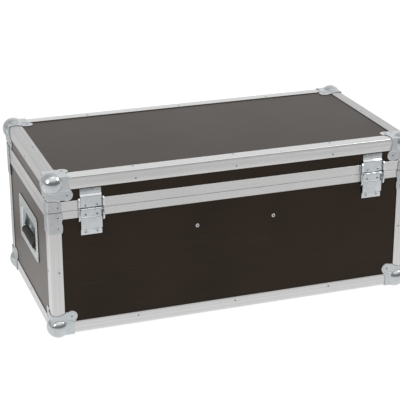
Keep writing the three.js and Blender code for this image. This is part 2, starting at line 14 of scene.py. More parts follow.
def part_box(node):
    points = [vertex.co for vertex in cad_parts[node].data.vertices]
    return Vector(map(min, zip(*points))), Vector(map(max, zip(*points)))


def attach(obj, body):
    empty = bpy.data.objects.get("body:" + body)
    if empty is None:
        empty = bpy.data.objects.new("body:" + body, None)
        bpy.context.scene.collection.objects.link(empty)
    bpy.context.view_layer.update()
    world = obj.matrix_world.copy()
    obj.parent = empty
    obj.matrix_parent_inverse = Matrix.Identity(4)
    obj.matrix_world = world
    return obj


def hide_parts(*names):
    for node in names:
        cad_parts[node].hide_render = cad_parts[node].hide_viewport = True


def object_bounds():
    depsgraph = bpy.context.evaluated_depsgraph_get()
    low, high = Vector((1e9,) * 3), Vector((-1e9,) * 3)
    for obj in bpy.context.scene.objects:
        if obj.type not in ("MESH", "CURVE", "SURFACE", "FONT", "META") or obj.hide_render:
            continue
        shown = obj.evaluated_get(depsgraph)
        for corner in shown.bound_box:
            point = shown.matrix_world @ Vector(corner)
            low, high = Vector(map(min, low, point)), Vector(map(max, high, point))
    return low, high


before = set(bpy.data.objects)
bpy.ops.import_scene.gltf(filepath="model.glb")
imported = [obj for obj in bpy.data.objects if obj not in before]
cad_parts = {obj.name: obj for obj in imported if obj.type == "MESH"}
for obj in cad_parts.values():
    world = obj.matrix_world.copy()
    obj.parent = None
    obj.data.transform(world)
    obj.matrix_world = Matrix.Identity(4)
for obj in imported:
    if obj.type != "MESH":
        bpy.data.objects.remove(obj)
CAD_BOX = [list(corner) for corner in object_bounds()]
MM = 1e-3


# ---------------------------------------------------------------- sizes in mm, from the frame
def box_mm(node):
    low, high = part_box(node)
    return np.array(low) * 1000.0, np.array(high) * 1000.0


def middle_mm(node):
    low, high = box_mm(node)
    return [float(c) for c in (low + high) / 2]


rim_low, rim_high = box_mm("base_closing_frame")
HALF_X, HALF_Y, BASE_RIM_TOP = map(float, rim_high)      # outer faces of the aluminium
BASE_RIM_LOW = float(rim_low[2])
SPLIT = BASE_RIM_TOP + 0.3                               # plane between base and lid
LID_RIM_LOW = SPLIT + 0.3
LID_RIM_TOP = float(box_mm("lid_closing_frame")[1][2])
BOTTOM = float(box_mm("base_edge_left")[0][2])           # underside of the aluminium
TOP = float(box_mm("lid_edge_left")[1][2])               # top of the aluminium
PANEL_X, PANEL_Y = HALF_X - 2.0, HALF_Y - 2.0            # outer faces of the panels
pin_middle = middle_mm("hinge_left_pin")
HINGE_X, PIN_Y = abs(pin_middle[0]), pin_middle[1]
disc_middle = middle_mm("latch_left_disc")
LATCH_X, DISC_Z = abs(disc_middle[0]), disc_middle[2]

AXIS_X, AXIS_Y, AXIS_Z = np.eye(3)
HALVES = (("base", BOTTOM, 1), ("lid", TOP, -1))         # name, outer z, way into the case
CORNERS = (("hinge_left", -1, -1), ("hinge_right", 1, -1),
           ("latch_left", -1, 1), ("latch_right", 1, 1))  # name, sign of x, sign of y

MERGE, TIGHT_MERGE = 2e-6, 1e-7                          # joining distances, in metres


# ---------------------------------------------------------------- objects and meshes
class Shells:
    """Collects closed shells, in mm, with a material number for each face."""
    def __init__(self):
        self.points, self.faces, self.materials = [], [], []

    def add(self, mesh, material=0):
        """material is one number, or a list with one for each face."""
        points, faces = mesh
        first = len(self.points)
        self.points += [tuple(float(c) for c in p) for p in points]
        self.faces += [tuple(i + first for i in face) for face in faces]
        self.materials += material if isinstance(material, list) else [material] * len(faces)
        return self


def mesh_from(name, points, faces, scale=MM):
    mesh = bpy.data.meshes.new(name)
    mesh.from_pydata([(x * scale, y * scale, z * scale) for x, y, z in points], [], faces)
    return mesh


def clean_mesh(mesh, merge=0.0, degenerate=0.0):
    """Joins close points, drops collapsed edges and turns the faces outwards."""
    bm = bmesh.new()
    bm.from_mesh(mesh)
    if merge:
        bmesh.ops.remove_doubles(bm, verts=bm.verts, dist=merge)
    if degenerate:
        bmesh.ops.dissolve_degenerate(bm, edges=bm.edges, dist=degenerate)
    bmesh.ops.recalc_face_normals(bm, faces=bm.faces)
    bm.to_mesh(mesh)
    bm.free()


def link_object(name, data):
    obj = bpy.data.objects.new(name, data)
    bpy.context.scene.collection.objects.link(obj)
    return obj


def remove_object(obj):
    mesh = obj.data
    bpy.data.objects.remove(obj)
    bpy.data.meshes.remove(mesh)


def bake(obj):
    """Applies the modifiers."""
    depsgraph = bpy.context.evaluated_depsgraph_get()
    mesh = bpy.data.meshes.new_from_object(obj.evaluated_get(depsgraph))
    obj.modifiers.clear()
    old = obj.data
    obj.data = mesh
    bpy.data.meshes.remove(old)


def bevel_edges(obj, width):
    modifier = obj.modifiers.new("bevel", "BEVEL")
    modifier.width = width * MM
    modifier.segments = 2
    modifier.limit_method = "ANGLE"
    modifier.angle_limit = math.radians(35)
    bake(obj)


def shade(obj, sharp):
    """Smooth shading, with edges over `sharp` degrees kept sharp."""
    obj.data.shade_smooth()
    obj.data.set_sharp_from_angle(angle=math.radians(sharp))


def register(obj, body, replaces=None):
    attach(obj, body)
    if obj.name.startswith("x_"):
        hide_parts(replaces or obj.name[2:])


def piece(name, shells, materials, body, sharp=40, bevel=0.0,
          merge=MERGE, replaces=None):
    mesh = mesh_from(name, shells.points, shells.faces)
    for material in materials:
        mesh.materials.append(material)
    mesh.polygons.foreach_set("material_index", shells.materials)
    clean_mesh(mesh, merge, degenerate=1e-7)
    obj = link_object(name, mesh)
    if bevel:
        bevel_edges(obj, bevel)
    shade(obj, sharp)
    register(obj, body, replaces)
    return obj


def thicken(obj, thickness, outward):
    """Gives an open sheet its thickness, inwards from the side that faces `outward`."""
    outward = Vector(outward)
    mesh = obj.data
    largest = max(mesh.polygons,
                  key=lambda face: face.area if abs(face.normal.dot(outward)) > 0.9 else 0)
    if largest.normal.dot(outward) < 0:
        mesh.flip_normals()
    modifier = obj.modifiers.new("thickness", "SOLIDIFY")
    modifier.thickness = thickness * MM
    modifier.offset = -1.0
    modifier.use_even_offset = False
    bake(obj)


def join_shells(obj, shells):
    """Adds bevelled closed shells to a piece already made of baked sheet."""
    mesh = mesh_from("add", shells.points, shells.faces)
    clean_mesh(mesh, TIGHT_MERGE)
    added = link_object("add", mesh)
    bevel_edges(added, 0.25)
    bm = bmesh.new()
    bm.from_mesh(obj.data)
    bm.from_mesh(added.data)
    bm.to_mesh(obj.data)
    bm.free()
    remove_object(added)
    shade(obj, 35)


def cut_boxes(obj, boxes, scale=MM):
    cutters = []
    for limits in boxes:
        mesh = mesh_from("cut", *block(*limits), scale)
        clean_mesh(mesh)
        cutter = link_object("cut", mesh)
        modifier = obj.modifiers.new("cut", "BOOLEAN")
        modifier.operation = "DIFFERENCE"
        modifier.solver = "EXACT"
        modifier.object = cutter
        cutters.append(cutter)
    bake(obj)
    for cutter in cutters:
        remove_object(cutter)


# ---------------------------------------------------------------- shapes, as (points, faces)
def prism(outline, start, end, u_axis, v_axis, w_axis, origin=(0, 0, 0)):
    """A (u, v) outline drawn out along w_axis."""
    u_axis, v_axis, w_axis, origin = (
        np.array(a, float) for a in (u_axis, v_axis, w_axis, origin))
    n = len(outline)
    points = [origin + u * u_axis + v * v_axis + w * w_axis
              for w in (start, end) for u, v in outline]
    faces = [tuple(range(n))[::-1], tuple(range(n, 2 * n))]
    faces += [(i, (i + 1) % n, n + (i + 1) % n, n + i) for i in range(n)]
    return points, faces


def along_x(outline, x0, x1, z=SPLIT):
    """A (y, height above z) outline drawn out along x."""
    return prism(outline, x0, x1, AXIS_Y, AXIS_Z, AXIS_X, (0, 0, z))


def block(x0, x1, y0, y1, z0, z1):
    return prism([(x0, y0), (x1, y0), (x1, y1), (x0, y1)], z0, z1, AXIS_X, AXIS_Y, AXIS_Z)


def span(centre, side, near, far):
    """The x range from near to far on one side (-1 or 1) of a centre."""
    return sorted((centre + side * near, centre + side * far))


def lathe(profile, centre, axis, segments, radius_at=None):
    """Turns (radius, height along axis) stations round the axis; radius 0 closes on it."""
    axis = np.array(axis, float)
    axis /= np.linalg.norm(axis)
    side = np.cross((0.0, 0.0, 1.0) if abs(axis[2]) < 0.9 else (1.0, 0.0, 0.0), axis)
    side /= np.linalg.norm(side)
    up = np.cross(axis, side)
    centre = np.array(centre, float)
    points, faces, rows = [], [], []
    for radius, height in profile:
        if radius < 1e-9:
            rows.append([len(points)] * segments)
            points.append(centre + height * axis)
            continue
        row = []
        for k in range(segments):
            angle = 2 * math.pi * k / segments
            r = radius_at(radius, height, angle) if radius_at else radius
            row.append(len(points))
            points.append(centre + height * axis
                          + r * (math.cos(angle) * side + math.sin(angle) * up))
        rows.append(row)
    for low, high in zip(rows[:-1], rows[1:]):
        for k in range(segments):
            after = (k + 1) % segments
            face = tuple(dict.fromkeys((low[k], low[after], high[after], high[k])))
            if len(face) > 2:
                faces.append(face)
    if profile[0][0] > 1e-9:
        faces.append(tuple(rows[0][::-1]))
    if profile[-1][0] > 1e-9:
        faces.append(tuple(rows[-1]))
    return points, faces


def tube(path, radius, segments):
    """A round rod along a path whose first stretch is level."""
    path = [np.array(p, float) for p in path]
    start = path[1] - path[0]
    start /= np.linalg.norm(start)
    normal = np.cross(start, AXIS_Z)
    normal /= np.linalg.norm(normal)
    loops = []
    for i, point in enumerate(path):
        along = path[min(i + 1, len(path) - 1)] - path[max(i - 1, 0)]
        along = along / np.linalg.norm(along)
        normal = normal - along * float(normal @ along)
        normal /= np.linalg.norm(normal)
        side = np.cross(along, normal)
        angles = [2 * math.pi * k / segments for k in range(segments)]
        loops.append([point + radius * (math.cos(a) * normal + math.sin(a) * side)
                      for a in angles])
    points, faces = loft(loops, cap_end=True)
    faces.append(tuple(range(segments))[::-1])
    return points, faces


def loft(loops, closed=True, cap_end=False):
    """Skins a row of loops that all have the same number of points."""
    n = len(loops[0])
    points = [np.array(p, float) for loop in loops for p in loop]
    faces = []
    for j in range(len(loops) - 1):
        for k in range(n if closed else n - 1):
            a, b = j * n + k, j * n + (k + 1) % n
            faces.append((a, b, b + n, a + n))
    if cap_end:
        faces.append(tuple(range((len(loops) - 1) * n, len(loops) * n)))
    return points, faces


# ---------------------------------------------------------------- outlines
def arc(u, v, radius, start, end, count):
    """Points on a circle about (u, v), angles in degrees."""
    return [(u + radius * math.cos(math.radians(a)), v + radius * math.sin(math.radians(a)))
            for a in np.linspace(start, end, count)]


def arccos(cosine):
    return math.acos(max(-1, min(1, cosine)))


def fillet(points, radii, steps=6):
    """Rounds the inner corners of an open 2D or 3D line; the end radii are not used."""
    points = [np.array(p, float) for p in points]
    rounded = [points[0]]
    for before, corner, after, radius in zip(points, points[1:], points[2:], radii[1:]):
        back, ahead = before - corner, after - corner
        back_length, ahead_length = np.linalg.norm(back), np.linalg.norm(ahead)
        back, ahead = back / back_length, ahead / ahead_length
        angle = arccos(float(back @ ahead))
        if angle > math.pi - 1e-3:                       # straight on
            rounded.append(corner)
            continue
        setback = min(radius / math.tan(angle / 2), 0.49 * back_length, 0.49 * ahead_length)
        fitted = setback * math.tan(angle / 2)
        inward = back + ahead
        inward = inward / np.linalg.norm(inward)
        centre = corner + inward * (fitted / math.sin(angle / 2))
        spoke1 = corner + back * setback - centre
        spoke2 = corner + ahead * setback - centre
        turn = arccos(float(spoke1 @ spoke2)
                      / (np.linalg.norm(spoke1) * np.linalg.norm(spoke2)))
        for k in range(steps + 1):
            s = k / steps
            rounded.append(centre + (math.sin((1 - s) * turn) * spoke1
                                     + math.sin(s * turn) * spoke2) / math.sin(turn))
    return rounded + [points[-1]]


def strip(centre_line, thickness):
    """Closed outline of a sheet about a 2D centre line."""
    line = [np.array(p, float) for p in centre_line]
    left, right = [], []
    for i, point in enumerate(line):
        if i == 0:
            along = line[1] - line[0]
        elif i == len(line) - 1:
            along = line[-1] - line[-2]
        else:
            before, after = point - line[i - 1], line[i + 1] - point
            along = before / np.linalg.norm(before) + after / np.linalg.norm(after)
        along = along / np.linalg.norm(along)
        normal = np.array([-along[1], along[0]])
        left.append(point + normal * thickness / 2)
        right.append(point - normal * thickness / 2)
    return left + right[::-1]


# ---------------------------------------------------------------- shader nodes
def scaled(colour, factor):
    return tuple(c * factor for c in colour)


def rgba(colour):
    return (*colour, 1.0) if isinstance(colour, tuple) else colour


class Nodes:
    """Builds an emptied node tree; an input takes a value or another node's output."""
    def __init__(self, owner):
        owner.use_nodes = True
        self.tree = owner.node_tree
        self.tree.nodes.clear()

    def feed(self, socket, value):
        if isinstance(value, bpy.types.NodeSocket):
            self.tree.links.new(value, socket)
        else:
            socket.default_value = value

    def node(self, kind, inputs=None, **settings):
        node = self.tree.nodes.new("ShaderNode" + kind)
        for key, value in settings.items():
            setattr(node, key, value)
        for key, value in (inputs or {}).items():
            self.feed(node.inputs[key], value)
        return node

    def noise(self, scale, stretch=(1, 1, 1), detail=3.0, roughness=0.5, distortion=0.0):
        place = self.node("TexCoord").outputs["Object"]
        mapping = self.node("Mapping", {"Vector": place, "Scale": stretch})
        return self.node("TexNoise", {
            "Vector": mapping.outputs[0], "Scale": scale, "Detail": detail,
            "Roughness": roughness, "Distortion": distortion}).outputs["Fac"]

    def ramp(self, value, over, to=(0.0, 1.0), smooth=False):
        """Maps the range `over` to the range `to`."""
        return self.node("MapRange", {
            "Value": value, "From Min": over[0], "From Max": over[1],
            "To Min": to[0], "To Max": to[1]},
            interpolation_type="SMOOTHSTEP" if smooth else "LINEAR").outputs[0]

    def mix(self, factor, first, second):
        return self.node("Mix", {0: factor, 6: rgba(first), 7: rgba(second)},
                         data_type="RGBA").outputs[2]

    def math(self, operation, a, b):
        return self.node("Math", {0: a, 1: b}, operation=operation).outputs[0]

    def add(self, a, b):
        return self.math("ADD", a, b)

    def times(self, a, b):
        return self.math("MULTIPLY", a, b)

    def bump(self, bsdf, height, strength, distance, under=None):
        inputs = {"Strength": strength, "Distance": distance, "Height": height}
        if under is not None:
            inputs["Normal"] = under
        normal = self.node("Bump", inputs).outputs[0]
        self.feed(bsdf.inputs["Normal"], normal)
        return normal

    def occlusion(self, distance, samples=6):
        return self.node("AmbientOcclusion", {"Distance": distance},
                         samples=samples).outputs["AO"]

    def worn_edges(self, over):
        return self.ramp(self.node("NewGeometry").outputs["Pointiness"], over)

    def paint_crevice_shade(self, colour, amount, distance, tint):
        """Paints shade into the metal where occlusion finds it closed in: seams, bends, round
        rivet heads.
        """
        closed_in = self.ramp(self.occlusion(distance), over=(0.42, 0.88), to=(amount, 0.0))
        return self.mix(closed_in, colour, tint)


def new_material(name):
    material = bpy.data.materials.new(name)
    nodes = Nodes(material)
    output = nodes.node("OutputMaterial")
    bsdf = nodes.node("BsdfPrincipled")
    nodes.feed(output.inputs[0], bsdf.outputs[0])
    return material, nodes, bsdf


# ---------------------------------------------------------------- materials
def panel_material(name, ior, tone_and_painted_light):
    """Dark brown phenolic film over a faint veneer grain, with hairline scuffs."""
    material, nodes, bsdf = new_material(name)
    grain = nodes.noise(stretch=(1.0, 14.0, 14.0), scale=7.0, detail=5.0, roughness=0.6)
    cloud = nodes.noise(scale=4.0, roughness=0.55)
    speck = nodes.noise(scale=520.0, detail=2.0, roughness=0.6)
    scuff = nodes.noise(stretch=(1.0, 60.0, 24.0), scale=6.0, detail=2.0, distortion=0.6)
    dark_film, pale_film = (0.0250, 0.0160, 0.0105), (0.0330, 0.0212, 0.0142)
    grain_colour, scuff_colour = (0.0170, 0.0110, 0.0072), (0.070, 0.058, 0.050)
    colour = nodes.mix(nodes.ramp(cloud, over=(0.3, 0.7)), dark_film, pale_film)
    colour = nodes.mix(nodes.ramp(grain, over=(0.35, 0.75), to=(0.0, 0.35)),
                       colour, grain_colour)
    scuffed = nodes.ramp(scuff, over=(0.69, 0.76), to=(0.0, 0.22))
    colour = nodes.mix(scuffed, colour, scuff_colour)
    # the colour is scaled by the last argument: near 1 as the film's own tone, raised on the
    # end panels as painted light
    toned = nodes.node("VectorMath", {0: colour, 1: (tone_and_painted_light, tone_and_painted_light * 0.98, tone_and_painted_light * 0.92)},
                       operation="MULTIPLY")
    nodes.feed(bsdf.inputs["Base Color"], toned.outputs[0])
    rough = nodes.ramp(cloud, over=(0.25, 0.75), to=(0.25, 0.32))
    rough = nodes.add(rough, nodes.times(speck, 0.06))
    nodes.feed(bsdf.inputs["Roughness"], nodes.add(rough, nodes.times(scuffed, 0.5)))
    bsdf.inputs["IOR"].default_value = ior
    bsdf.inputs["Specular Tint"].default_value = (1.0, 0.945, 0.915, 1.0)
    specks = nodes.bump(bsdf, speck, strength=0.22, distance=0.00012)
    nodes.bump(bsdf, grain, strength=0.16, distance=0.0006, under=specks)
    return material


def aluminium_material(name, stretch, top=1.0):
    """Satin extrusion with die lines along its length; top scales upward faces' colour as
    painted shade, standing in for how cross-running die lines reflect.
    """
    material, nodes, bsdf = new_material(name)
    base, rough = (0.86, 0.86, 0.855), 0.30
    fine = nodes.noise(stretch=stretch, scale=1.0, roughness=0.62)
    broad = nodes.noise(stretch=scaled(stretch, 0.22), scale=1.0, detail=2.0)
    cloud = nodes.noise(scale=9.0)
    colour = nodes.mix(nodes.ramp(fine, over=(0.32, 0.68)), scaled(base, 0.93), base)
    colour = nodes.mix(nodes.ramp(broad, over=(0.55, 0.72), to=(0.0, 0.35)),
                       colour, scaled(base, 0.84))
    colour = nodes.mix(nodes.ramp(cloud, over=(0.4, 0.75), to=(0.0, 0.2)),
                       colour, scaled(base, 0.9))
    # painted shade: upward faces darkened, in place of the die lines' real reflection
    if top != 1.0:
        normal = nodes.node("TexCoord").outputs["Normal"]
        upward = nodes.node("SeparateXYZ", {0: normal}).outputs[2]
        colour = nodes.mix(nodes.ramp(upward, over=(0.6, 0.9)), colour, scaled(base, top))
    # painted shade in the grooves, seams and chamfers, where occlusion finds them closed in
    colour = nodes.paint_crevice_shade(colour, amount=0.75, distance=0.0022,
                                   tint=(0.22, 0.22, 0.22))
    nodes.feed(bsdf.inputs["Base Color"], colour)
    bsdf.inputs["Metallic"].default_value = 1.0
    rough = nodes.add(rough, nodes.ramp(fine, over=(0.3, 0.7), to=(-0.05, 0.07)))
    rough = nodes.add(rough, nodes.ramp(cloud, over=(0.3, 0.7), to=(-0.03, 0.04)))
    nodes.feed(bsdf.inputs["Roughness"], rough)
    nodes.bump(bsdf, fine, strength=0.10, distance=0.00010)
    return material


def zinc_material(name, base=(0.76, 0.795, 0.815), rough=0.27, ball=False, spangle=0.5,
                  shade_amount=0.7, reach=0.0028, tint=(0.16, 0.20, 0.215)):
    """Zinc-plated pressed steel: fine blotchy crystals and a cool cast.

    spangle: strength of the crystals. The crevice arguments (amount, reach in m, tint) set
    painted shade where occlusion finds the metal closed in.
    ball: burnish where the "ball" attribute is set.
    """
    material, nodes, bsdf = new_material(name)
    deep = reach > 0.01                                  # a pressing that shades itself
    place = nodes.node("TexCoord").outputs["Object"]
    crystals = nodes.node("TexVoronoi", {"Vector": place, "Scale": 420.0})
    crystal = nodes.node("SeparateColor", {0: crystals.outputs["Color"]}).outputs[0]
    cloud = nodes.noise(scale=55.0, detail=4.0, roughness=0.6)
    fine = nodes.noise(scale=900.0, detail=2.0, roughness=0.6)
    blotch = nodes.noise(scale=24.0, detail=2.0)
    pattern = nodes.add(nodes.times(crystal, 0.5 * spangle), nodes.times(cloud, 0.9))
    colour = nodes.mix(nodes.ramp(pattern, over=(0.30, 0.80)), scaled(base, 0.84), base)
    colour = nodes.mix(nodes.ramp(blotch, over=(0.5, 0.75), to=(0.0, 0.45)), colour,
                       (base[0] * 0.93, base[1] * 0.98, base[2] * 1.02))
    wear = nodes.worn_edges(over=(0.53, 0.60))
    colour = nodes.mix(nodes.times(wear, 0.35), colour, (0.86, 0.87, 0.87))
    # painted shade in seams, bends and rivet heads, from occlusion
    colour = nodes.paint_crevice_shade(colour, shade_amount, reach, tint)
    if deep:
        # painted shade: deep in the pressing, where occlusion is low, the colour goes near
        # black in place of the shadow there
        depth = nodes.occlusion(distance=0.040, samples=8)
        colour = nodes.mix(nodes.ramp(depth, over=(0.10, 0.30), to=(0.80, 0.0)),
                           colour, (0.10, 0.118, 0.12))
    nodes.feed(bsdf.inputs["Base Color"], colour)
    bsdf.inputs["Metallic"].default_value = 1.0
    rough = nodes.add(rough, nodes.ramp(pattern, over=(0.3, 0.8), to=(0.07, -0.05)))
    rough = nodes.add(rough, nodes.times(fine, 0.05))
    if ball:
        burnish = nodes.node("Attribute", attribute_name="ball").outputs["Fac"]
        rough = nodes.add(rough, nodes.times(burnish, -0.14))
    if deep:
        openness = nodes.occlusion(distance=reach)
        rough = nodes.add(rough, nodes.ramp(openness, over=(0.45, 0.85), to=(0.26, 0.0)))
        nodes.feed(bsdf.inputs["Metallic"],
                   nodes.ramp(openness, over=(0.40, 0.80), to=(0.60, 1.0)))
    nodes.feed(bsdf.inputs["Roughness"], rough)
    relief = nodes.bump(bsdf, crystal, strength=0.10 * spangle, distance=0.00008)
    nodes.bump(bsdf, cloud, strength=0.10, distance=0.0003, under=relief)
    return material


def mandrel_material(name):
    """Near-black steel in the middle of the rivets: darker than bare steel, as painted shade
    for the hollow it sits in.
    """
    material, nodes, bsdf = new_material(name)
    steel = (0.035, 0.035, 0.036)
    cloud = nodes.noise(scale=600.0, roughness=0.6)
    colour = nodes.mix(nodes.ramp(cloud, over=(0.3, 0.7)), scaled(steel, 0.6), steel)
    nodes.feed(bsdf.inputs["Base Color"], colour)
    bsdf.inputs["Metallic"].default_value = 1.0
    nodes.feed(bsdf.inputs["Roughness"], nodes.ramp(cloud, over=(0.3, 0.7), to=(0.4, 0.62)))
    nodes.bump(bsdf, cloud, strength=0.3, distance=0.0001)
    return material


def rubber_material(name):
    material, nodes, bsdf = new_material(name)
    cloud = nodes.noise(scale=60.0, detail=4.0, roughness=0.6)
    fine = nodes.noise(scale=1400.0, detail=2.0, roughness=0.6)
    dark, pale, worn = (0.018, 0.0145, 0.013), (0.034, 0.028, 0.025), (0.075, 0.066, 0.060)
    colour = nodes.mix(nodes.ramp(cloud, over=(0.35, 0.7)), dark, pale)
    wear = nodes.worn_edges(over=(0.52, 0.60))
    colour = nodes.mix(nodes.times(wear, 0.4), colour, worn)
    nodes.feed(bsdf.inputs["Base Color"], colour)
    nodes.feed(bsdf.inputs["Roughness"], nodes.ramp(cloud, over=(0.3, 0.7), to=(0.46, 0.62)))
    nodes.bump(bsdf, fine, strength=0.3, distance=0.00010)
    return material


PANEL = panel_material("phenolic_film", ior=1.304, tone_and_painted_light=1.08)
# a lighter, glossier copy of the film for the two end panels: painted light and sheen, as the
# film is the same on every face
PANEL_END_LIT_COPY = panel_material("phenolic_film_end", ior=1.80, tone_and_painted_light=1.9)
ALU_X = aluminium_material("aluminium_along_x", stretch=(3.0, 1500.0, 1500.0))
# top=0.70 paints shade on the upper faces of the cross edges
ALU_Y = aluminium_material("aluminium_along_y", stretch=(1500.0, 3.0, 1500.0), top=0.70)
ALU_Z = aluminium_material("aluminium_along_z", stretch=(1500.0, 1500.0, 3.0))
ALU_RIM = aluminium_material("aluminium_closing_profile", stretch=(3.0, 3.0, 1500.0))
ZINC = zinc_material("zinc_plate")
HINGE = zinc_material("zinc_hinge", base=(0.83, 0.865, 0.885), rough=0.20, spangle=0.35,
                      shade_amount=0.55)
# a lighter, smoother copy of the hinge zinc for the wings' lips: painted light, as the lips are
# the same metal
WING_LIT_COPY = zinc_material("zinc_hinge_wing", base=(0.93, 0.96, 0.975), rough=0.22, spangle=0.3,
                     shade_amount=0.5)
BALL = zinc_material("zinc_ball_corner", base=(0.755, 0.785, 0.80), rough=0.30, ball=True,
                     spangle=0.4)
BRACE = zinc_material("zinc_brace", base=(0.70, 0.72, 0.73), rough=0.36, spangle=0.8)
# DISH: in the closed-in recess the crevice tint paints a teal-grey cast and the deep mask near
# black: painted shade
DISH = zinc_material("zinc_dish", base=(0.80, 0.825, 0.81), rough=0.30, spangle=0.9,
                     shade_amount=0.80, reach=0.016, tint=(0.74, 0.88, 0.87))
ROD = zinc_material("zinc_rod", base=(0.60, 0.62, 0.63), rough=0.25)
RIVET = zinc_material("rivet_head", base=(0.78, 0.79, 0.80), rough=0.30, spangle=0.2)
MANDREL_SHADED = mandrel_material("rivet_mandrel")
RUBBER = rubber_material("grip_rubber")

for node_name, node_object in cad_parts.items():
    if node_name.endswith("_panel"):
        # the end panels take the lighter copy of the film: painted light
        at_end = node_name.endswith(("left_panel", "right_panel"))
        node_object.data.materials.clear()
        node_object.data.materials.append(PANEL_END_LIT_COPY if at_end else PANEL)

# ---------------------------------------------------------------- edge extrusions
EDGE_RADIUS = 4.0            # outer corner of the extrusions and of the closing profile
ANGLE_WIDTH = 30.0           # each leg of the angle
GROOVE_HALF, GROOVE_DEPTH = 0.28, 0.18
EDGE_END = 31.0              # the angles stop this far from the case's corner
JOINT = 0.3                  # gap between a post and the closing profile


def angle_profile():
    """(u, v) outline of the grooved angle, both legs running from the corner (0, 0)."""
    face = [(EDGE_RADIUS, 0.0)]                          # (along the leg, depth)
    for groove in (8.5, 10.3, 18.6, 20.4):
        face += [(groove - GROOVE_HALF, 0.0), (groove, GROOVE_DEPTH),
                 (groove + GROOVE_HALF, 0.0)]
    face += [(ANGLE_WIDTH - 0.5, 0.0), (ANGLE_WIDTH - 0.15, 0.15), (ANGLE_WIDTH, 0.5)]
    bend = arc(EDGE_RADIUS, EDGE_RADIUS, EDGE_RADIUS, 270, 180, 9)[1:-1]
    inside = [(1.8, 29.7), (1.8, 2.6), (2.6, 1.8), (29.7, 1.8)]
    return face[::-1] + bend + [(depth, along) for along, depth in face] + inside


ANGLE = angle_profile()


def extrusion(name, legs, axis, origin, start, end, material, body):
    shells = Shells().add(prism(ANGLE, start, end, *legs, axis, origin))
    piece(name, shells, [material], body, sharp=24)


for half, outer_z, way in HALVES:
    for side, sy in (("hinge_side", -1), ("latch_side", 1)):
        extrusion(f"x_{half}_edge_{side}", (-sy * AXIS_Y, way * AXIS_Z), AXIS_X,
                  (0, sy * HALF_Y, outer_z), -HALF_X + EDGE_END, HALF_X - EDGE_END,
                  ALU_X, half)
    for side, sx in (("left", -1), ("right", 1)):
        extrusion(f"x_{half}_edge_{side}", (-sx * AXIS_X, way * AXIS_Z), AXIS_Y,
                  (sx * HALF_X, 0, outer_z), -HALF_Y + EDGE_END, HALF_Y - EDGE_END,
                  ALU_Y, half)
for corner, sx, sy in CORNERS:
    post = ((-sx * AXIS_X, -sy * AXIS_Y), AXIS_Z, (sx * HALF_X, sy * HALF_Y, 0))
    extrusion(f"x_base_post_{corner}", *post, BOTTOM + EDGE_END, BASE_RIM_LOW - JOINT,
              ALU_Z, "base")
    extrusion(f"lid_post_{corner}", *post, LID_RIM_TOP + JOINT, TOP - EDGE_END,
              ALU_Z, "lid")

# ---------------------------------------------------------------- closing profile rings
DISH_HALF_X = 36.0           # openings of the latch dishes
DISH_LOW, DISH_HIGH = SPLIT - 59.5, SPLIT + 36.5
CUT_CLEARANCE = 1.9


def ring(profile):
    """Sweeps a closed (depth from the outer faces, z) profile round the case."""
    steps = 6
    loops = []
    for sx, sy, start in ((1, 1, 0), (-1, 1, 90), (-1, -1, 180), (1, -1, 270)):
        x, y = sx * (HALF_X - EDGE_RADIUS), sy * (HALF_Y - EDGE_RADIUS)
        for k in range(steps + 1):
            angle = math.radians(start + 90 * k / steps)
            loop = []
            for depth, z in profile:
                r = EDGE_RADIUS - depth
                if r >= 0:
                    loop.append((x + r * math.cos(angle), y + r * math.sin(angle), z))
                else:
                    loop.append((x + r * sx, y + r * sy, z))
            loops.append(loop)
    return loft(loops + [loops[0]])


def groove(z):
    return [(0.0, z - GROOVE_HALF), (GROOVE_DEPTH, z), (0.0, z + GROOVE_HALF)]


# (depth, z): each half is a channel; the base has a slot that takes the lid's tongue
LOW, HIGH = BASE_RIM_LOW, BASE_RIM_TOP
BASE_RIM = [
    (0.5, LOW), (0.0, LOW + 0.5), *groove(LOW + 6.4), *groove(LOW + 12.6),
    (0.0, HIGH - 0.2), (0.2, HIGH), (3.6, HIGH), (3.9, HIGH - 0.3), (3.9, HIGH - 1.9),
    (6.5, HIGH - 1.9), (6.5, HIGH - 0.3), (6.8, HIGH), (10.6, HIGH), (11.0, HIGH - 0.4),
    (11.0, LOW + 0.3), (10.7, LOW), (9.7, LOW), (9.7, HIGH - 3.0), (1.8, HIGH - 3.0),
    (1.8, LOW)]
LOW, HIGH = LID_RIM_LOW, LID_RIM_TOP
LID_RIM = [
    (0.5, LOW), (0.0, LOW + 0.5), *groove(LOW + 7.6), *groove(LOW + 15.6),
    (0.0, HIGH - 0.25), (0.25, HIGH), (1.8, HIGH), (1.8, LOW + 3.0), (9.7, LOW + 3.0),
    (9.7, HIGH), (10.7, HIGH), (11.0, HIGH - 0.3), (11.0, LOW + 0.4), (10.6, LOW),
    (6.0, LOW), (6.0, LOW - 1.6), (5.6, LOW - 2.0), (4.8, LOW - 2.0), (4.4, LOW - 1.6),
    (4.4, LOW)]
for half, profile in (("base", BASE_RIM), ("lid", LID_RIM)):
    rim = piece(f"x_{half}_closing_frame", Shells().add(ring(profile)), [ALU_RIM], half,
                sharp=24, merge=MERGE)
    reach_x = DISH_HALF_X + CUT_CLEARANCE
    cut_boxes(rim, [(s * LATCH_X - reach_x, s * LATCH_X + reach_x, 215.6, HALF_Y + 2,
                     DISH_LOW - 2, DISH_HIGH + 2) for s in (-1, 1)])
    shade(rim, 24)

# ---------------------------------------------------------------- ball corners
# One corner is made in its own frame: x, y and z run inwards from the three outer faces.
BALL_RADIUS, BALL_INSET = 27.0, 16.0
PLATE_TOP, PLATE_UNDER = 1.75, 0.15      # levels of the plate above the aluminium
EAR_DROP = 2.0                           # the ears step down from aluminium to panel
COLLAR_RADIUS = 4.0                      # hollow between ball and plate


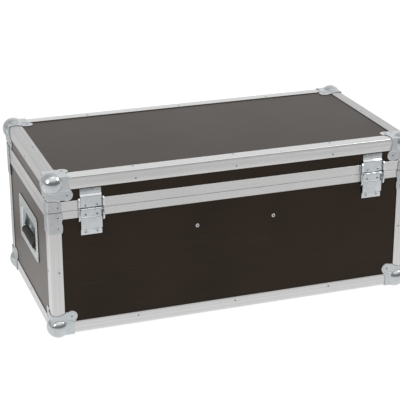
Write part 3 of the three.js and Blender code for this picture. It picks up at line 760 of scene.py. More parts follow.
def corner_outline():
    """(u, v) outline of one of the three plates, with a round ear."""
    ear = arc(46.0, 43.5, 14.0, -32, 124, 14)
    u_side = fillet([(-1.7, -1.7), (51.6, -1.7), (49.0, 14.0), (52.3, 27.0), (57.2, 34.6)],
                    [0, 1.5, 16, 5, 2], 5)
    v_side = fillet([(34.0, 55.8), (27.0, 52.0), (15.0, 47.3), (-1.7, 51.6)],
                    [2, 6, 16, 0], 5)
    return [tuple(p) for p in u_side] + ear + [tuple(p) for p in v_side]


def plate_grid():
    """The outline sliced into a grid, finest across the step: points, faces, rim edges."""
    bm = bmesh.new()
    bm.faces.new([bm.verts.new((float(u), float(v), 0.0)) for u, v in corner_outline()])
    for k in range(62):
        place = -1.0 + k
        if not (26 <= place <= 40 or k % 4 == 0):
            continue
        for normal in ((1, 0, 0), (0, 1, 0)):
            bmesh.ops.bisect_plane(bm, geom=bm.verts[:] + bm.edges[:] + bm.faces[:],
                                   plane_co=tuple(place * c for c in normal),
                                   plane_no=normal, dist=1e-5)
    index = {vert: i for i, vert in enumerate(bm.verts)}
    points = [(vert.co.x, vert.co.y) for vert in bm.verts]
    faces = [[index[vert] for vert in face.verts] for face in bm.faces]
    rim = [(index[edge.verts[0]], index[edge.verts[1]])
           for edge in bm.edges if len(edge.link_faces) == 1]
    bm.free()
    return points, faces, rim


def plate_shell(grid, u_axis, v_axis, out):
    def level(u, v):
        s = min(1.0, max(0.0, (min(u, v) - 30.6) / 3.0))
        return -EAR_DROP * s * s * (3 - 2 * s)

    flat, tops, rim = grid
    n = len(flat)
    points = [u * u_axis + v * v_axis + (height + level(u, v)) * out
              for height in (PLATE_TOP, PLATE_UNDER) for u, v in flat]
    faces = [tuple(face) for face in tops]
    faces += [tuple(i + n for i in face)[::-1] for face in tops]
    faces += [(a, b, b + n, a + n) for a, b in rim]
    return points, faces


def collar_shell(u_axis, v_axis, out):
    """The hollow fillet between the ball and one plate, flattened at the case's edges."""
    height = PLATE_TOP + COLLAR_RADIUS
    radius = math.sqrt((BALL_RADIUS + COLLAR_RADIUS) ** 2 - (BALL_INSET + height) ** 2)
    ball_angle = math.atan2(-BALL_INSET - height, 0 - radius)
    profile = [(0.0, 0.9), (radius + 0.6, 0.9), (radius + 0.6, 1.70), (radius, PLATE_TOP)]
    for k in range(1, 9):
        angle = -math.pi / 2 + (ball_angle + math.pi / 2) * k / 8
        profile.append((radius + COLLAR_RADIUS * math.cos(angle),
                        height + COLLAR_RADIUS * math.sin(angle)))
    profile.append((0.0, profile[-1][1]))
    points, faces = lathe(profile, BALL_INSET * (u_axis + v_axis), out, 72)
    points = [p + u_axis * max(0.0, -1.6 - float(p @ u_axis))
              + v_axis * max(0.0, -1.6 - float(p @ v_axis)) for p in points]
    return points, faces


def add_to_bmesh(bm, mesh):
    points, faces = mesh
    verts = [bm.verts.new(tuple(float(c) for c in p)) for p in points]
    for face in faces:
        try:
            bm.faces.new([verts[i] for i in face])
        except ValueError:
            pass                         # guards against a face that is already there


def ball_object():
    """The ball, less the part inside the case."""
    mesh = bpy.data.meshes.new("ball")
    bm = bmesh.new()
    bmesh.ops.create_uvsphere(bm, u_segments=72, v_segments=36, radius=BALL_RADIUS)
    bmesh.ops.translate(bm, verts=bm.verts, vec=(BALL_INSET,) * 3)
    bm.to_mesh(mesh)
    bm.free()
    ball = link_object("ball", mesh)
    cut_boxes(ball, [(0.1, 99) * 3], scale=1.0)
    return ball


def corner_mesh():
    """Ball, plates and collars fused into one skin: points in mm, triangles."""
    ball = ball_object()
    bm = bmesh.new()
    bm.from_mesh(ball.data)
    remove_object(ball)
    grid = plate_grid()
    for axes in ((AXIS_X, AXIS_Z, -AXIS_Y), (AXIS_Y, AXIS_Z, -AXIS_X),
                 (AXIS_X, AXIS_Y, -AXIS_Z)):
        add_to_bmesh(bm, plate_shell(grid, *axes))
        add_to_bmesh(bm, collar_shell(*axes))
    bmesh.ops.recalc_face_normals(bm, faces=bm.faces)
    mesh = bpy.data.meshes.new("corner")
    bm.to_mesh(mesh)
    bm.free()
    mesh.transform(Matrix.Scale(MM, 4))
    fused = link_object("corner", mesh)
    remesh = fused.modifiers.new("remesh", "REMESH")
    remesh.mode = "VOXEL"
    remesh.voxel_size = 0.00062
    remesh.adaptivity = 0.0
    smooth = fused.modifiers.new("smooth", "SMOOTH")
    smooth.factor = 0.5
    smooth.iterations = 4
    fused.modifiers.new("decimate", "DECIMATE").ratio = 0.30
    bake(fused)
    flat = np.zeros(len(fused.data.vertices) * 3, np.float64)
    fused.data.vertices.foreach_get("co", flat)
    triangles = [tuple(face.vertices) for face in fused.data.polygons]
    remove_object(fused)
    return flat.reshape(-1, 3) * 1000.0, triangles


def corner_shape():
    """The fused corner with its ball made truly round, and how far each point is ball."""
    points, triangles = corner_mesh()
    spokes = points - BALL_INSET
    distance = np.linalg.norm(spokes, axis=1)
    on_ball = ((points.max(1) < 9.0) & (distance > BALL_RADIUS - 0.05)
               & (distance < BALL_RADIUS + 6.0))
    points[on_ball] = (BALL_INSET
                       + spokes[on_ball] * (BALL_RADIUS / distance[on_ball])[:, None])
    off_ball = np.abs(np.linalg.norm(points - BALL_INSET, axis=1) - BALL_RADIUS)
    weight = np.clip((0.9 - off_ball) / 0.7, 0, 1) * (points.min(1) < -2.2)
    return points, triangles, weight


CORNER_POINTS, CORNER_TRIANGLES, BALL_WEIGHT = corner_shape()


def ball_corner(corner, sx, sy, half, outer_z, way):
    points = (np.array((sx * HALF_X, sy * HALF_Y, outer_z))
              - np.array((sx, sy, -way)) * CORNER_POINTS)
    if half == "base":                   # flattened where it stands on the floor
        points[:, 2] = np.maximum(points[:, 2], 0.0)
    low, high = np.array(CAD_BOX[0]) * 1000, np.array(CAD_BOX[1]) * 1000
    points = np.clip(points, low - 0.5, high + 0.5)
    mirrored = sx * sy * way < 0
    triangles = [t[::-1] for t in CORNER_TRIANGLES] if mirrored else CORNER_TRIANGLES
    name = f"x_{half}_ball_corner_{corner}"
    mesh = bpy.data.meshes.new(name)
    mesh.from_pydata((points * MM).tolist(), [], triangles)
    mesh.materials.append(BALL)
    weight = mesh.attributes.new("ball", "FLOAT", "POINT")
    weight.data.foreach_set("value", BALL_WEIGHT.astype(np.float32))
    obj = link_object(name, mesh)
    shade(obj, 60)
    register(obj, half)


for corner, sx, sy in CORNERS:
    for half, outer_z, way in HALVES:
        ball_corner(corner, sx, sy, half, outer_z, way)

# ---------------------------------------------------------------- corner braces
BRACE_THICKNESS, BRACE_GAP = 1.5, 0.2


def base_brace_width(t):
    """Width at t (0 to 1 up the brace), waisted near the middle and at both ends."""
    return (33.4 - 2.0 * math.exp(-((t - 0.52) / 0.10) ** 2)
            - 1.6 * math.exp(-((t - 0.0) / 0.09) ** 2)
            - 0.8 * math.exp(-((t - 1.0) / 0.06) ** 2))


def lid_brace_width(t):
    return 31.0 - 3.0 * max(0, (t - 0.7) / 0.3) ** 2


def trimmed(end, u, width):
    """z of a plate's end at u; end is (z, change of z at the tip, run of the change)."""
    z, change, run = end
    return z + change * max(0, (u - width + run) / run) ** 2


def brace(width_at, bottom, top, sx, sy):
    """Plate bent round an upright edge, as an outer and an inner grid of points."""
    rows = np.linspace(0, 1, 19)
    columns = [("x", 1 - k / 9) for k in range(9)] + [("bend", k / 8) for k in range(9)]
    columns += [("y", (k + 1) / 9) for k in range(9)]
    row_count, column_count = len(rows), len(columns)
    points = []
    for out in (BRACE_GAP + BRACE_THICKNESS, BRACE_GAP):
        for t in rows:
            width = width_at(t)
            for leg, s in columns:
                u = EDGE_RADIUS + (width - EDGE_RADIUS) * s
                if leg == "x":
                    x, y = u, -out
                elif leg == "y":
                    x, y = -out, u
                else:
                    angle = math.radians(270 - 90 * s)
                    u = 0.0
                    x = EDGE_RADIUS + (EDGE_RADIUS + out) * math.cos(angle)
                    y = EDGE_RADIUS + (EDGE_RADIUS + out) * math.sin(angle)
                low, high = trimmed(bottom, u, width), trimmed(top, u, width)
                points.append((sx * (HALF_X - x), sy * (HALF_Y - y), low + (high - low) * t))

    def at(layer, row, column):
        return (layer * row_count + row) * column_count + column

    faces = [(at(side, r, c), at(side, r, c + 1), at(side, r + 1, c + 1), at(side, r + 1, c))
             for side in (0, 1) for r in range(row_count - 1) for c in range(column_count - 1)]
    faces += [(at(0, r, c), at(0, r + 1, c), at(1, r + 1, c), at(1, r, c))
              for r in range(row_count - 1) for c in (0, column_count - 1)]
    faces += [(at(0, r, c), at(0, r, c + 1), at(1, r, c + 1), at(1, r, c))
              for c in range(column_count - 1) for r in (0, row_count - 1)]
    return points, faces


# half, width, bottom end, top end (see trimmed)
BRACES = (("base", base_brace_width, (SPLIT - 52.0, 1.2, 4), (SPLIT - 0.4, -0.8, 3)),
          ("lid", lid_brace_width, (SPLIT + 0.4, 0.0, 1), (SPLIT + 27.0, -5.5, 15)))
for corner, sx, sy in CORNERS:
    for half, width_at, bottom, top in BRACES:
        piece(f"x_{half}_brace_{corner}", Shells().add(brace(width_at, bottom, top, sx, sy)),
              [BRACE], half, bevel=0.3)

# ---------------------------------------------------------------- rivets
# (radius, height) from the buried underside, over the head, into the hollow middle
RIVET_PROFILE = [
    (0.0, -0.35), (3.1, -0.35), (3.2, 0.10), (3.12, 0.42), (2.80, 0.80), (2.35, 1.06),
    (1.90, 1.14), (1.65, 1.08), (1.52, 0.85), (1.46, 0.10), (1.1, 0.02), (0.0, 0.12)]
FIXING_PROFILE = [
    (0.0, -0.3), (4.6, -0.3), (4.75, 0.25), (4.55, 0.85), (3.9, 1.5), (2.9, 1.95),
    (2.0, 2.05), (1.7, 1.9), (1.6, 0.6), (1.2, 0.5), (0.0, 0.55)]
PLATED_BANDS = 8             # bands of either profile before the dark middle


def fasteners(name, profile, segments, places, body):
    """places: (centre, outward normal) of each head."""
    plated = PLATED_BANDS * segments
    dark = (len(profile) - 1 - PLATED_BANDS) * segments
    shells = Shells()
    for centre, normal in places:
        # the middle bands take the near-black mandrel colour: real steel, darkened as painted
        # shade in the rivet's hollow
        shells.add(lathe(profile, centre, normal, segments), [0] * plated + [1] * dark)
    piece(name, shells, [RIVET, MANDREL_SHADED], body, sharp=50, merge=TIGHT_MERGE)


def rivets(name, places, body, scale=1.0):
    profile = [(r * scale, h * scale) for r, h in RIVET_PROFILE]
    fasteners(name, profile, 18, places, body)


EDGE_RIVET_SCALE = 0.92
for half, outer_z, way in HALVES:
    places = []
    side_in = 20.8 if half == "base" else 21.5
    for sy in (-1, 1):
        for x in (-243.8, 0.0, 244.8):
            places.append(((x, sy * HALF_Y, outer_z + way * side_in), sy * AXIS_Y))
            places.append(((x, sy * (HALF_Y - 21.6), outer_z), -way * AXIS_Z))
    for sx in (-1, 1):
        places.append(((sx * HALF_X, 4.0, outer_z + way * 21.2), sx * AXIS_X))
        places.append(((sx * (HALF_X - 21.0), 4.0, outer_z), -way * AXIS_Z))
    rivets(f"{half}_edge_rivets", places, half, EDGE_RIVET_SCALE)

POST_RIVET_IN, POST_RIVET_Z = 21.0, BOTTOM + 157.0
places = []
for _, sx, sy in CORNERS:
    places.append(((sx * (HALF_X - POST_RIVET_IN), sy * HALF_Y, POST_RIVET_Z), sy * AXIS_Y))
    places.append(((sx * HALF_X, sy * (HALF_Y - POST_RIVET_IN), POST_RIVET_Z), sx * AXIS_X))
rivets("base_post_rivets", places, "base", EDGE_RIVET_SCALE)

EAR_IN, EAR_Z_IN = 46, 43.5              # rivet in a ball corner's ear, from the outer faces
EAR_TOP = PLATE_TOP - EAR_DROP
BRACE_TOP = BRACE_GAP + BRACE_THICKNESS
# half: (distance in from the outer face, heights)
BRACE_RIVETS = {"base": (22.4, (BOTTOM + 291.7, BOTTOM + 266.3)),
                "lid": (22.6, (BOTTOM + 316.8,))}
for corner, sx, sy in CORNERS:
    for half, outer_z, way in HALVES:
        ear_z = outer_z + way * EAR_Z_IN
        places = [
            ((sx * (HALF_X - EAR_IN), sy * (HALF_Y + EAR_TOP), ear_z), sy * AXIS_Y),
            ((sx * (HALF_X + EAR_TOP), sy * (HALF_Y - EAR_IN), ear_z), sx * AXIS_X),
            ((sx * (HALF_X - EAR_IN), sy * (HALF_Y - EAR_Z_IN), outer_z - way * EAR_TOP),
             -way * AXIS_Z)]
        inset, heights = BRACE_RIVETS[half]
        places += [((sx * (HALF_X - inset), sy * (HALF_Y + BRACE_TOP), z), sy * AXIS_Y)
                   for z in heights]
        places += [((sx * (HALF_X + BRACE_TOP), sy * (HALF_Y - inset), z), sx * AXIS_X)
                   for z in heights]
        rivets(f"{half}_corner_rivets_{corner}", places, half)

# two larger round heads on the hinge-side panel
fasteners("hinge_side_fixings", FIXING_PROFILE, 28,
          [((s * 95.5, -PANEL_Y, BOTTOM + 228.0), -AXIS_Y) for s in (-1, 1)], "base")

# ---------------------------------------------------------------- hinges
# Outlines are (y, height above the split); the pin lies on the split.
ALU_BACK, PANEL_BACK = -HALF_Y - 0.2, -PANEL_Y - 0.2     # backs of the plates
LEAF_HALF = 24.75
LEAF_THICKNESS = 1.4
KNUCKLE_RADIUS, KNUCKLE_THICKNESS = 2.7, 1.3             # radius to the sheet's middle
KNUCKLE_Y = PIN_Y + KNUCKLE_RADIUS
PANEL_PLATE = PANEL_BACK - 0.7                           # middle of the plate on the panel
LID_PLATE = ALU_BACK - 1.85                              # plate levels on the aluminium
LID_CRANK = LID_PLATE - 0.5
BASE_PLATE, BASE_STEP = ALU_BACK - 1.45, ALU_BACK - 3.1
RIVET_X = 13.5
LIP = (26.4, 30.3)                                       # near and far x of the wings' lips
# (radius, x) with riveted-over ends
PIN_PROFILE = [
    (0, -30.75), (0.9, -30.7), (1.55, -30.45), (1.6, -30.1), (1.25, -30.0), (1.2, -29.8),
    (1.2, 29.8), (1.25, 30.0), (1.6, 30.1), (1.55, 30.45), (0.9, 30.7), (0, 30.75)]


def knuckle(start_height, end_angle):
    line = [(KNUCKLE_Y, start_height)] + arc(PIN_Y, 0, KNUCKLE_RADIUS, 0, end_angle, 18)
    return strip(line, KNUCKLE_THICKNESS)


def hinge_piece(name, shells, body):
    # material 1 goes on the wings' lips: the lighter zinc copy, painted light
    piece(name, shells, [HINGE, WING_LIT_COPY], body, sharp=30, bevel=0.25, merge=TIGHT_MERGE)


def lid_leaf(side, centre):
    shells = Shells()
    leaf = fillet([(KNUCKLE_Y, 2.6), (LID_CRANK, 6.0), (LID_CRANK, 30.6),
                   (PANEL_PLATE, 35.6), (PANEL_PLATE, 49.7)], [0, 3, 2.2, 1.6, 0])
    wing = arc(PIN_Y, 0, 4.0, 150, 375, 22) + fillet(
        [(ALU_BACK, 4.0), (ALU_BACK, 28.0), (ALU_BACK - 3.6, 28.0), (PIN_Y - 3.2, 23.5),
         (PIN_Y - 3.4, 3)], [0, 0.8, 1.6, 1.6, 0], 4)
    lip = fillet([(PIN_Y - 3.3, 6.8), (PIN_Y - 3.2, 23.4), (ALU_BACK - 3.6, 28.0),
                  (ALU_BACK - 1.4, 28.0)], [0, 2.5, 1.5, 0], 5)
    backing = [(ALU_BACK - 1.15, 5.0), (ALU_BACK, 5.0), (ALU_BACK, 27.9),
               (ALU_BACK - 1.15, 27.9)]
    shells.add(along_x(strip(leaf, LEAF_THICKNESS), centre - LEAF_HALF, centre + LEAF_HALF))
    for m in (-1, 1):
        shells.add(along_x(knuckle(3.6, -275), *span(centre, m, 9.2, LEAF_HALF)))
    shells.add(along_x(backing, centre - 28.2, centre + 28.2))
    for m in (-1, 1):
        shells.add(along_x(wing, *span(centre, m, 26.8, 28.2)))
        shells.add(along_x(strip(lip, 1.3), *span(centre, m, *LIP)), 1)
        shells.add(block(*span(centre, m, 26.8, 29.9), PIN_Y - 5.1, PIN_Y - 3.1,
                         SPLIT + 4.4, SPLIT + 6.2))
    hinge_piece(f"x_hinge_{side}_lid_leaf", shells, "lid")


def base_leaf(side, centre):
    shells = Shells()
    leaf = fillet([(KNUCKLE_Y, -2.6), (BASE_PLATE, -5.6), (BASE_PLATE, -18.0),
                   (BASE_STEP, -20.4), (BASE_STEP, -46.8), (PANEL_PLATE, -50.8),
                   (PANEL_PLATE, -62.7)], [0, 3, 1.6, 1.8, 2.2, 2.2, 0])
    wing = arc(PIN_Y, 0, 4.0, -15, 210, 22) + fillet(
        [(PIN_Y - 3.1, -3.0), (PIN_Y - 3.1, -20.5), (PIN_Y - 0.6, -26.0),
         (ALU_BACK - 2.2, -28.5), (ALU_BACK, -26.0), (ALU_BACK, -4.0)],
        [0, 1.6, 1.6, 1.0, 0.5, 0], 4)
    lip = fillet([(PIN_Y - 3.0, -6.8), (PIN_Y - 3.0, -20.6), (PIN_Y - 0.5, -26.2),
                  (ALU_BACK - 1.6, -28.6)], [0, 3.0, 2.5, 0], 5)
    backing = [(ALU_BACK - 1.0, -26.0), (ALU_BACK, -26.0), (ALU_BACK, -5.0),
               (ALU_BACK - 1.0, -5.0)]
    shells.add(along_x(strip(leaf, LEAF_THICKNESS), centre - LEAF_HALF, centre + LEAF_HALF))
    shells.add(along_x(knuckle(-3.6, 275), centre - 8.8, centre + 8.8))
    shells.add(along_x(backing, centre - 29.9, centre + 29.9))
    for m in (-1, 1):
        shells.add(along_x(wing, *span(centre, m, 28.5, 29.9)))
        shells.add(along_x(strip(lip, 1.3), *span(centre, m, *LIP)), 1)
    hinge_piece(f"x_hinge_{side}_base_leaf", shells, "base")


def hinge(side, centre):
    lid_leaf(side, centre)
    base_leaf(side, centre)
    pin = Shells().add(lathe(PIN_PROFILE, (centre, PIN_Y, SPLIT), AXIS_X, 20))
    piece(f"x_hinge_{side}_pin", pin, [ROD], "base", merge=TIGHT_MERGE)
    on_panel = PANEL_BACK - 1.35
    # half: (y, height above the aluminium's underside) of each pair of rivets
    for half, pairs in (("lid", ((on_panel, 349.0), (LID_PLATE - 1.2, 315.4))),
                        ("base", ((BASE_PLATE - 0.7, 292.0), (on_panel, 249.0)))):
        rivets(f"hinge_{side}_{half}_rivets",
               [((centre + s * RIVET_X, y, BOTTOM + height), -AXIS_Y)
                for y, height in pairs for s in (-1, 1)], half, scale=0.95)


hinge("left", -HINGE_X)
hinge("right", HINGE_X)

# ---------------------------------------------------------------- handles
HANDLE_Z = BOTTOM + 191.0
PIVOT_X, PIVOT_Z = -HALF_X + 11.0, BOTTOM + 205.0        # on the left end
GRIP_X, GRIP_Z = -HALF_X + 4.0, BOTTOM + 160.0
PIVOT_END_Y, ARM_Y = 77.1, 71.0
# rounded rectangles from the rim to the floor of the dish:
# half width in y, reach below and above HANDLE_Z, corner radius, distance out from the panel
HANDLE_DISH = [
    (98.0, 61.0, 51.0, 9.0, 1.45), (98.0, 61.0, 51.0, 9.0, 2.2),
    (97.6, 60.6, 50.6, 8.7, 2.7), (96.9, 59.9, 49.9, 8.2, 2.88),
    (95.5, 58.5, 48.5, 8.0, 2.9), (94.0, 57.0, 47.0, 8.0, 2.9),
    (86.0, 53.0, 33.0, 14.0, 2.9), (80.5, 47.5, 27.5, 15.0, 2.9),
    (79.2, 46.2, 26.2, 15.0, 2.65), (77.8, 44.8, 24.8, 15.0, 1.8),
    (76.8, 43.8, 23.8, 14.6, 0.2), (76.2, 43.2, 23.2, 14.3, -2.6),
    (75.4, 42.4, 22.4, 14.0, -9.0), (74.4, 41.4, 21.4, 13.5, -15.0),
    (73.0, 40.0, 20.0, 13.0, -18.0), (70.5, 37.5, 17.5, 12.0, -19.6),
    (67.0, 34.0, 14.0, 11.0, -20.0), (50.0, 25.0, 5.0, 8.0, -20.0),
    (30.0, 18.0, -2.0, 5.0, -20.0)]
# the same columns, once round the section of the dark rubber seal under the dish's flange; its
# edge, showing just past the flange, stands in for the shadow in the gap under the flange
HANDLE_SEAL_SHADOW_LINE = [
    (84.0, 51.0, 31.0, 12.0, -0.1), (98.4, 61.4, 51.4, 9.2, -0.1),
    (98.4, 61.4, 51.4, 9.2, 1.1), (98.0, 61.0, 51.0, 9.0, 1.5),
    (84.0, 51.0, 31.0, 12.0, 1.5), (84.0, 51.0, 31.0, 12.0, -0.1)]
# (radius, y) of the grip's collar at its -Y end
GRIP_COLLAR = [(3.5, -58.0), (7.0, -58.0), (8.6, -57.5), (9.5, -56.4), (9.8, -54.8),
               (9.8, -50.5), (9.5, -49.6), (9.2, -48.8)]
# (y, height from HANDLE_Z)
HANDLE_RIVETS = [(-88, -51.5), (0, -51.8), (88, -51.5), (-88, 40.5), (0, 40.5), (88, 40.5),
                 (-88.5, -6), (88.5, -6)]


def rounded_rectangle(half_y, z0, z1, radius):
    """Closed (y, z) loop with the same number of points for every size."""
    corner_points, side_steps = 8, 5
    corners = [arc(y, z, radius, start, start + 90, corner_points) for y, z, start in (
        (half_y - radius, z1 - radius, 0), (-half_y + radius, z1 - radius, 90),
        (-half_y + radius, z0 + radius, 180), (half_y - radius, z0 + radius, 270))]
    loop = []
    for i, corner_arc in enumerate(corners):
        loop += corner_arc
        a, b = np.array(corner_arc[-1]), np.array(corners[(i + 1) % 4][0])
        loop += [tuple(a + (b - a) * (j / side_steps)) for j in range(1, side_steps)]
    return loop


def handle_loops(stations, way):
    return [[(way * (PANEL_X + out), y, z) for y, z in
             rounded_rectangle(half_y, HANDLE_Z - below, HANDLE_Z + above, radius)]
            for half_y, below, above, radius, out in stations]


def flute(radius, y, angle):
    """Twenty flutes that fade out towards the collars."""
    if abs(y) < 49.2 and radius > 8.7:
        fade = min(1.0, (49.2 - abs(y)) / 4.0)
        return radius + fade * 0.42 * math.cos(20 * angle)
    return radius


def handle(side, way):
    """way: the sign of x at this end of the case."""
    dish = piece(f"x_handle_{side}_dish",
                 Shells().add(loft(handle_loops(HANDLE_DISH, way), cap_end=True)),
                 [DISH], "base")
    thicken(dish, 1.3, way * AXIS_X)
    shade(dish, 40)
    # dark seal under the flange: its edge past the flange stands in for the shadow there
    piece(f"handle_{side}_seal", Shells().add(loft(handle_loops(HANDLE_SEAL_SHADOW_LINE, way))),
          [RUBBER], "base", merge=TIGHT_MERGE)
    bail = fillet([(PIVOT_X, PIVOT_END_Y, PIVOT_Z), (PIVOT_X, ARM_Y, PIVOT_Z),
                   (GRIP_X, ARM_Y, GRIP_Z), (GRIP_X, -ARM_Y, GRIP_Z),
                   (PIVOT_X, -ARM_Y, PIVOT_Z), (PIVOT_X, -PIVOT_END_Y, PIVOT_Z)],
                  [0, 4.5, 7.5, 7.5, 4.5, 0], 8)
    rod = Shells().add(tube([(-way * x, y, z) for x, y, z in bail], 3.4, 20))
    piece(f"x_handle_{side}_rod", rod, [ROD], f"handle_{side}_bail", sharp=50,
          replaces=f"handle_{side}_bail")
    profile = (GRIP_COLLAR + [(9.2, y) for y in np.linspace(-44, 44, 9)]
               + [(radius, -y) for radius, y in GRIP_COLLAR[::-1]])
    grip = Shells().add(lathe(profile, (-way * GRIP_X, 0, GRIP_Z), AXIS_Y, 100, flute))
    piece(f"handle_{side}_grip", grip, [RUBBER], f"handle_{side}_bail")
    rivets(f"handle_{side}_rivets",
           [((way * (PANEL_X + 2.85), y, HANDLE_Z + height), way * AXIS_X)
            for y, height in HANDLE_RIVETS], "base")


handle("left", -1)
handle("right", 1)

# ---------------------------------------------------------------- latches
FLOOR_Y = 217.0                          # floor of the dishes
TILT_Y, TILT_HEIGHT = 221.3, -12.5       # axis of the hook; height above the split
TILT_Z = SPLIT + TILT_HEIGHT
HOOK_LEAN = -math.radians(14)
FLANGE_TOP = HALF_Y + 0.2 + 1.35
# half: (way, z at the split, z of the flange's end, z of the opening's end, rim's end)
LATCH_DISHES = {
    "base": (-1, SPLIT - 0.4, SPLIT - 71.0, DISH_LOW, BASE_RIM_LOW),
    "lid": (1, SPLIT + 0.4, SPLIT + 49.0, DISH_HIGH, LID_RIM_TOP)}
# Stations of a half dish: half width in x, z from the end away from the split,
# corner radius, y from the level, share of the step down from aluminium to panel.
FLANGE = [                               # from the flange's end and FLANGE_TOP
    (52.0, 0.0, 6.0, -1.15, 1), (52.0, 0.0, 6.0, -0.5, 1), (51.7, -0.3, 5.8, -0.12, 1),
    (51.2, -0.8, 5.5, 0.0, 1), (47.0, -4.0, 6.0, 0.0, 1)]
WALL = [                                 # from the opening's end and FLANGE_TOP
    (42.0, 4.0, 9.0, 0.0, 1), (39.5, 2.6, 9.0, 0.0, 1), (38.2, 1.6, 9.0, -0.3, 0.9),
    (37.1, 0.8, 9.0, -1.2, 0.6), (36.4, 0.2, 9.0, -2.6, 0.25), (35.8, -0.4, 9.0, -5.2, 0)]
PAN = [                                  # from the opening's end and FLOOR_Y
    (35.2, -1.0, 9.0, 1.6, 0), (34.2, -2.0, 8.6, 0.45, 0), (32.8, -3.4, 8.0, 0.0, 0),
    (26.0, -10.0, 6.0, 0.0, 0), (18.0, -16.0, 4.0, 0.0, 0), (9.0, -20.0, 3.0, 0.0, 0)]
# (radius, y from the dish floor)
DISC_PROFILE = [
    (0, -1.0), (3.7, -1.0), (4.0, -0.7), (4.0, 2.5), (14.6, 2.5), (15.3, 2.8), (15.5, 3.4),
    (15.5, 4.6), (15.2, 5.1), (14.6, 5.3), (13.9, 5.15), (13.2, 4.75), (12.4, 4.6),
    (6.0, 4.6), (4.5, 4.9), (3.5, 5.25), (0, 5.35)]
# (radius, x) of the hook's axle, with headed ends
AXLE_PROFILE = [(0, -12.0), (1.5, -12.0), (1.6, -11.5), (1.0, -11.4), (1.0, 11.4),
                (1.6, 11.5), (1.5, 12.0), (0, 12.0)]


def rod_profile(radius, half_length):
    return [(0, -half_length), (radius, -half_length), (radius, half_length),
            (0, half_length)]


def half_dish(side, centre, half):
    """Pressed half dish, open at the split."""
    way, z_split, z_flange, z_opening, z_rim = LATCH_DISHES[half]

    def step_down(z):
        s = min(1.0, max(0.0, ((z - z_rim) * way - 0.6) / 3.6))
        return -2.0 * s * s * (3 - 2 * s)

    loops = []
    for stations, z_end, level in ((FLANGE, z_flange, FLANGE_TOP),
                                   (WALL, z_opening, FLANGE_TOP),
                                   (PAN, z_opening, FLOOR_Y)):
        for half_x, beyond, radius, rise, share in stations:
            end = z_end + beyond * way
            right = [(half_x, z_split + (end - way * radius - z_split) * k / 15)
                     for k in range(15)]
            for k in range(9):
                angle = math.pi / 2 * k / 8
                right.append((half_x - radius + radius * math.cos(angle),
                              end - way * radius + way * radius * math.sin(angle)))
            right += [((half_x - radius) * (1 - k / 8), end) for k in range(1, 8)]
            outline = right + [(0.0, end)] + [(-x, z) for x, z in right[::-1]]
            loops.append([(centre + x, level + rise + share * step_down(z), z)
                          for x, z in outline])
    points, faces = loft(loops, closed=False)
    n = len(loops[0])
    first = (len(loops) - 1) * n
    for k in range(n // 2):              # close the floor inside the last loop
        a, b = first + k, first + k + 1
        c, d = first + n - 2 - k, first + n - 1 - k
        faces.append((a, b, d) if b == c else (a, b, c, d))
    dish = piece(f"x_latch_{side}_{half}_dish", Shells().add((points, faces)), [DISH], half)
    thicken(dish, 1.2, AXIS_Y)
    return dish


def base_dish(side, centre):
    """Half dish with the two lugs of the hook."""
    dish = half_dish(side, centre, "base")
    lug = ([(FLOOR_Y - 0.4, TILT_HEIGHT - 4.5)]
           + arc(TILT_Y, TILT_HEIGHT, 2.6, -70, 70, 12)
           + [(FLOOR_Y - 0.4, TILT_HEIGHT + 4.5)])
    lugs = Shells()
    for m in (-1, 1):
        lugs.add(along_x(lug, *span(centre, m, 9.7, 11.3)))
    join_shells(dish, lugs)


def lid_dish(side, centre):
    """Half dish with the keeper ledge and a gusset at each end of it."""
    dish = half_dish(side, centre, "lid")
    ledge = fillet([(FLOOR_Y - 0.4, 25.0), (FLOOR_Y + 0.9, 17.2), (TILT_Y - 0.7, 15.8)],
                   [0, 2.0, 0])
    gusset = [(FLOOR_Y - 0.4, 9.5), (TILT_Y - 1.2, 14.8), (FLOOR_Y + 0.6, 18.5),
              (FLOOR_Y - 0.4, 20.0)]
    keeper = Shells().add(along_x(strip(ledge, 1.4), centre - 14, centre + 14))
    for m in (-1, 1):
        keeper.add(along_x(gusset, *span(centre, m, 12.4, 14.0)))
    join_shells(dish, keeper)


def latch_disc(side, centre):
    """Turning disc with the two lugs of the wing."""
    shells = Shells().add(lathe(DISC_PROFILE, (centre, FLOOR_Y, DISC_Z), AXIS_Y, 56))
    lug = ([(FLOOR_Y + 4.4, -1.9)] + arc(FLOOR_Y + 6.6, 0, 1.55, -80, 80, 10)
           + [(FLOOR_Y + 4.4, 1.9)])
    for m in (-1, 1):
        shells.add(along_x(lug, *span(centre, m, 10.1, 11.9), z=DISC_Z))
    piece(f"x_latch_{side}_disc", shells, [ZINC], f"latch_{side}_disc", sharp=35,
          merge=TIGHT_MERGE)


def latch_wing(side, centre):
    """Folding wing of two lobes, on a thin axle."""
    neck_half, neck_top, neck_low = 9.4, 0.2, -2.6
    lobes = []
    for k in range(41):
        angle = math.pi + math.pi * k / 40
        radius = 14.2 - 2.2 * math.exp(-((angle - 1.5 * math.pi) / 0.26) ** 2)
        x, z = radius * math.cos(angle), radius * math.sin(angle)
        if z < neck_low:
            lobes.append((centre + x, DISC_Z + z))
    outline = [(centre - neck_half, DISC_Z + neck_top), (centre - neck_half, DISC_Z + neck_low),
               *lobes,
               (centre + neck_half, DISC_Z + neck_low), (centre + neck_half, DISC_Z + neck_top)]
    shells = Shells()
    shells.add(prism(outline, FLOOR_Y + 5.95, FLOOR_Y + 7.35, AXIS_X, AXIS_Z, AXIS_Y))
    axle = (centre, FLOOR_Y + 6.7, DISC_Z)
    shells.add(lathe(rod_profile(1.15, 9.6), axle, AXIS_X, 16))
    shells.add(lathe(rod_profile(0.6, 12.0), axle, AXIS_X, 12))
    piece(f"x_latch_{side}_wing", shells, [ZINC], f"latch_{side}_wing", sharp=35,
          bevel=0.3, merge=TIGHT_MERGE)


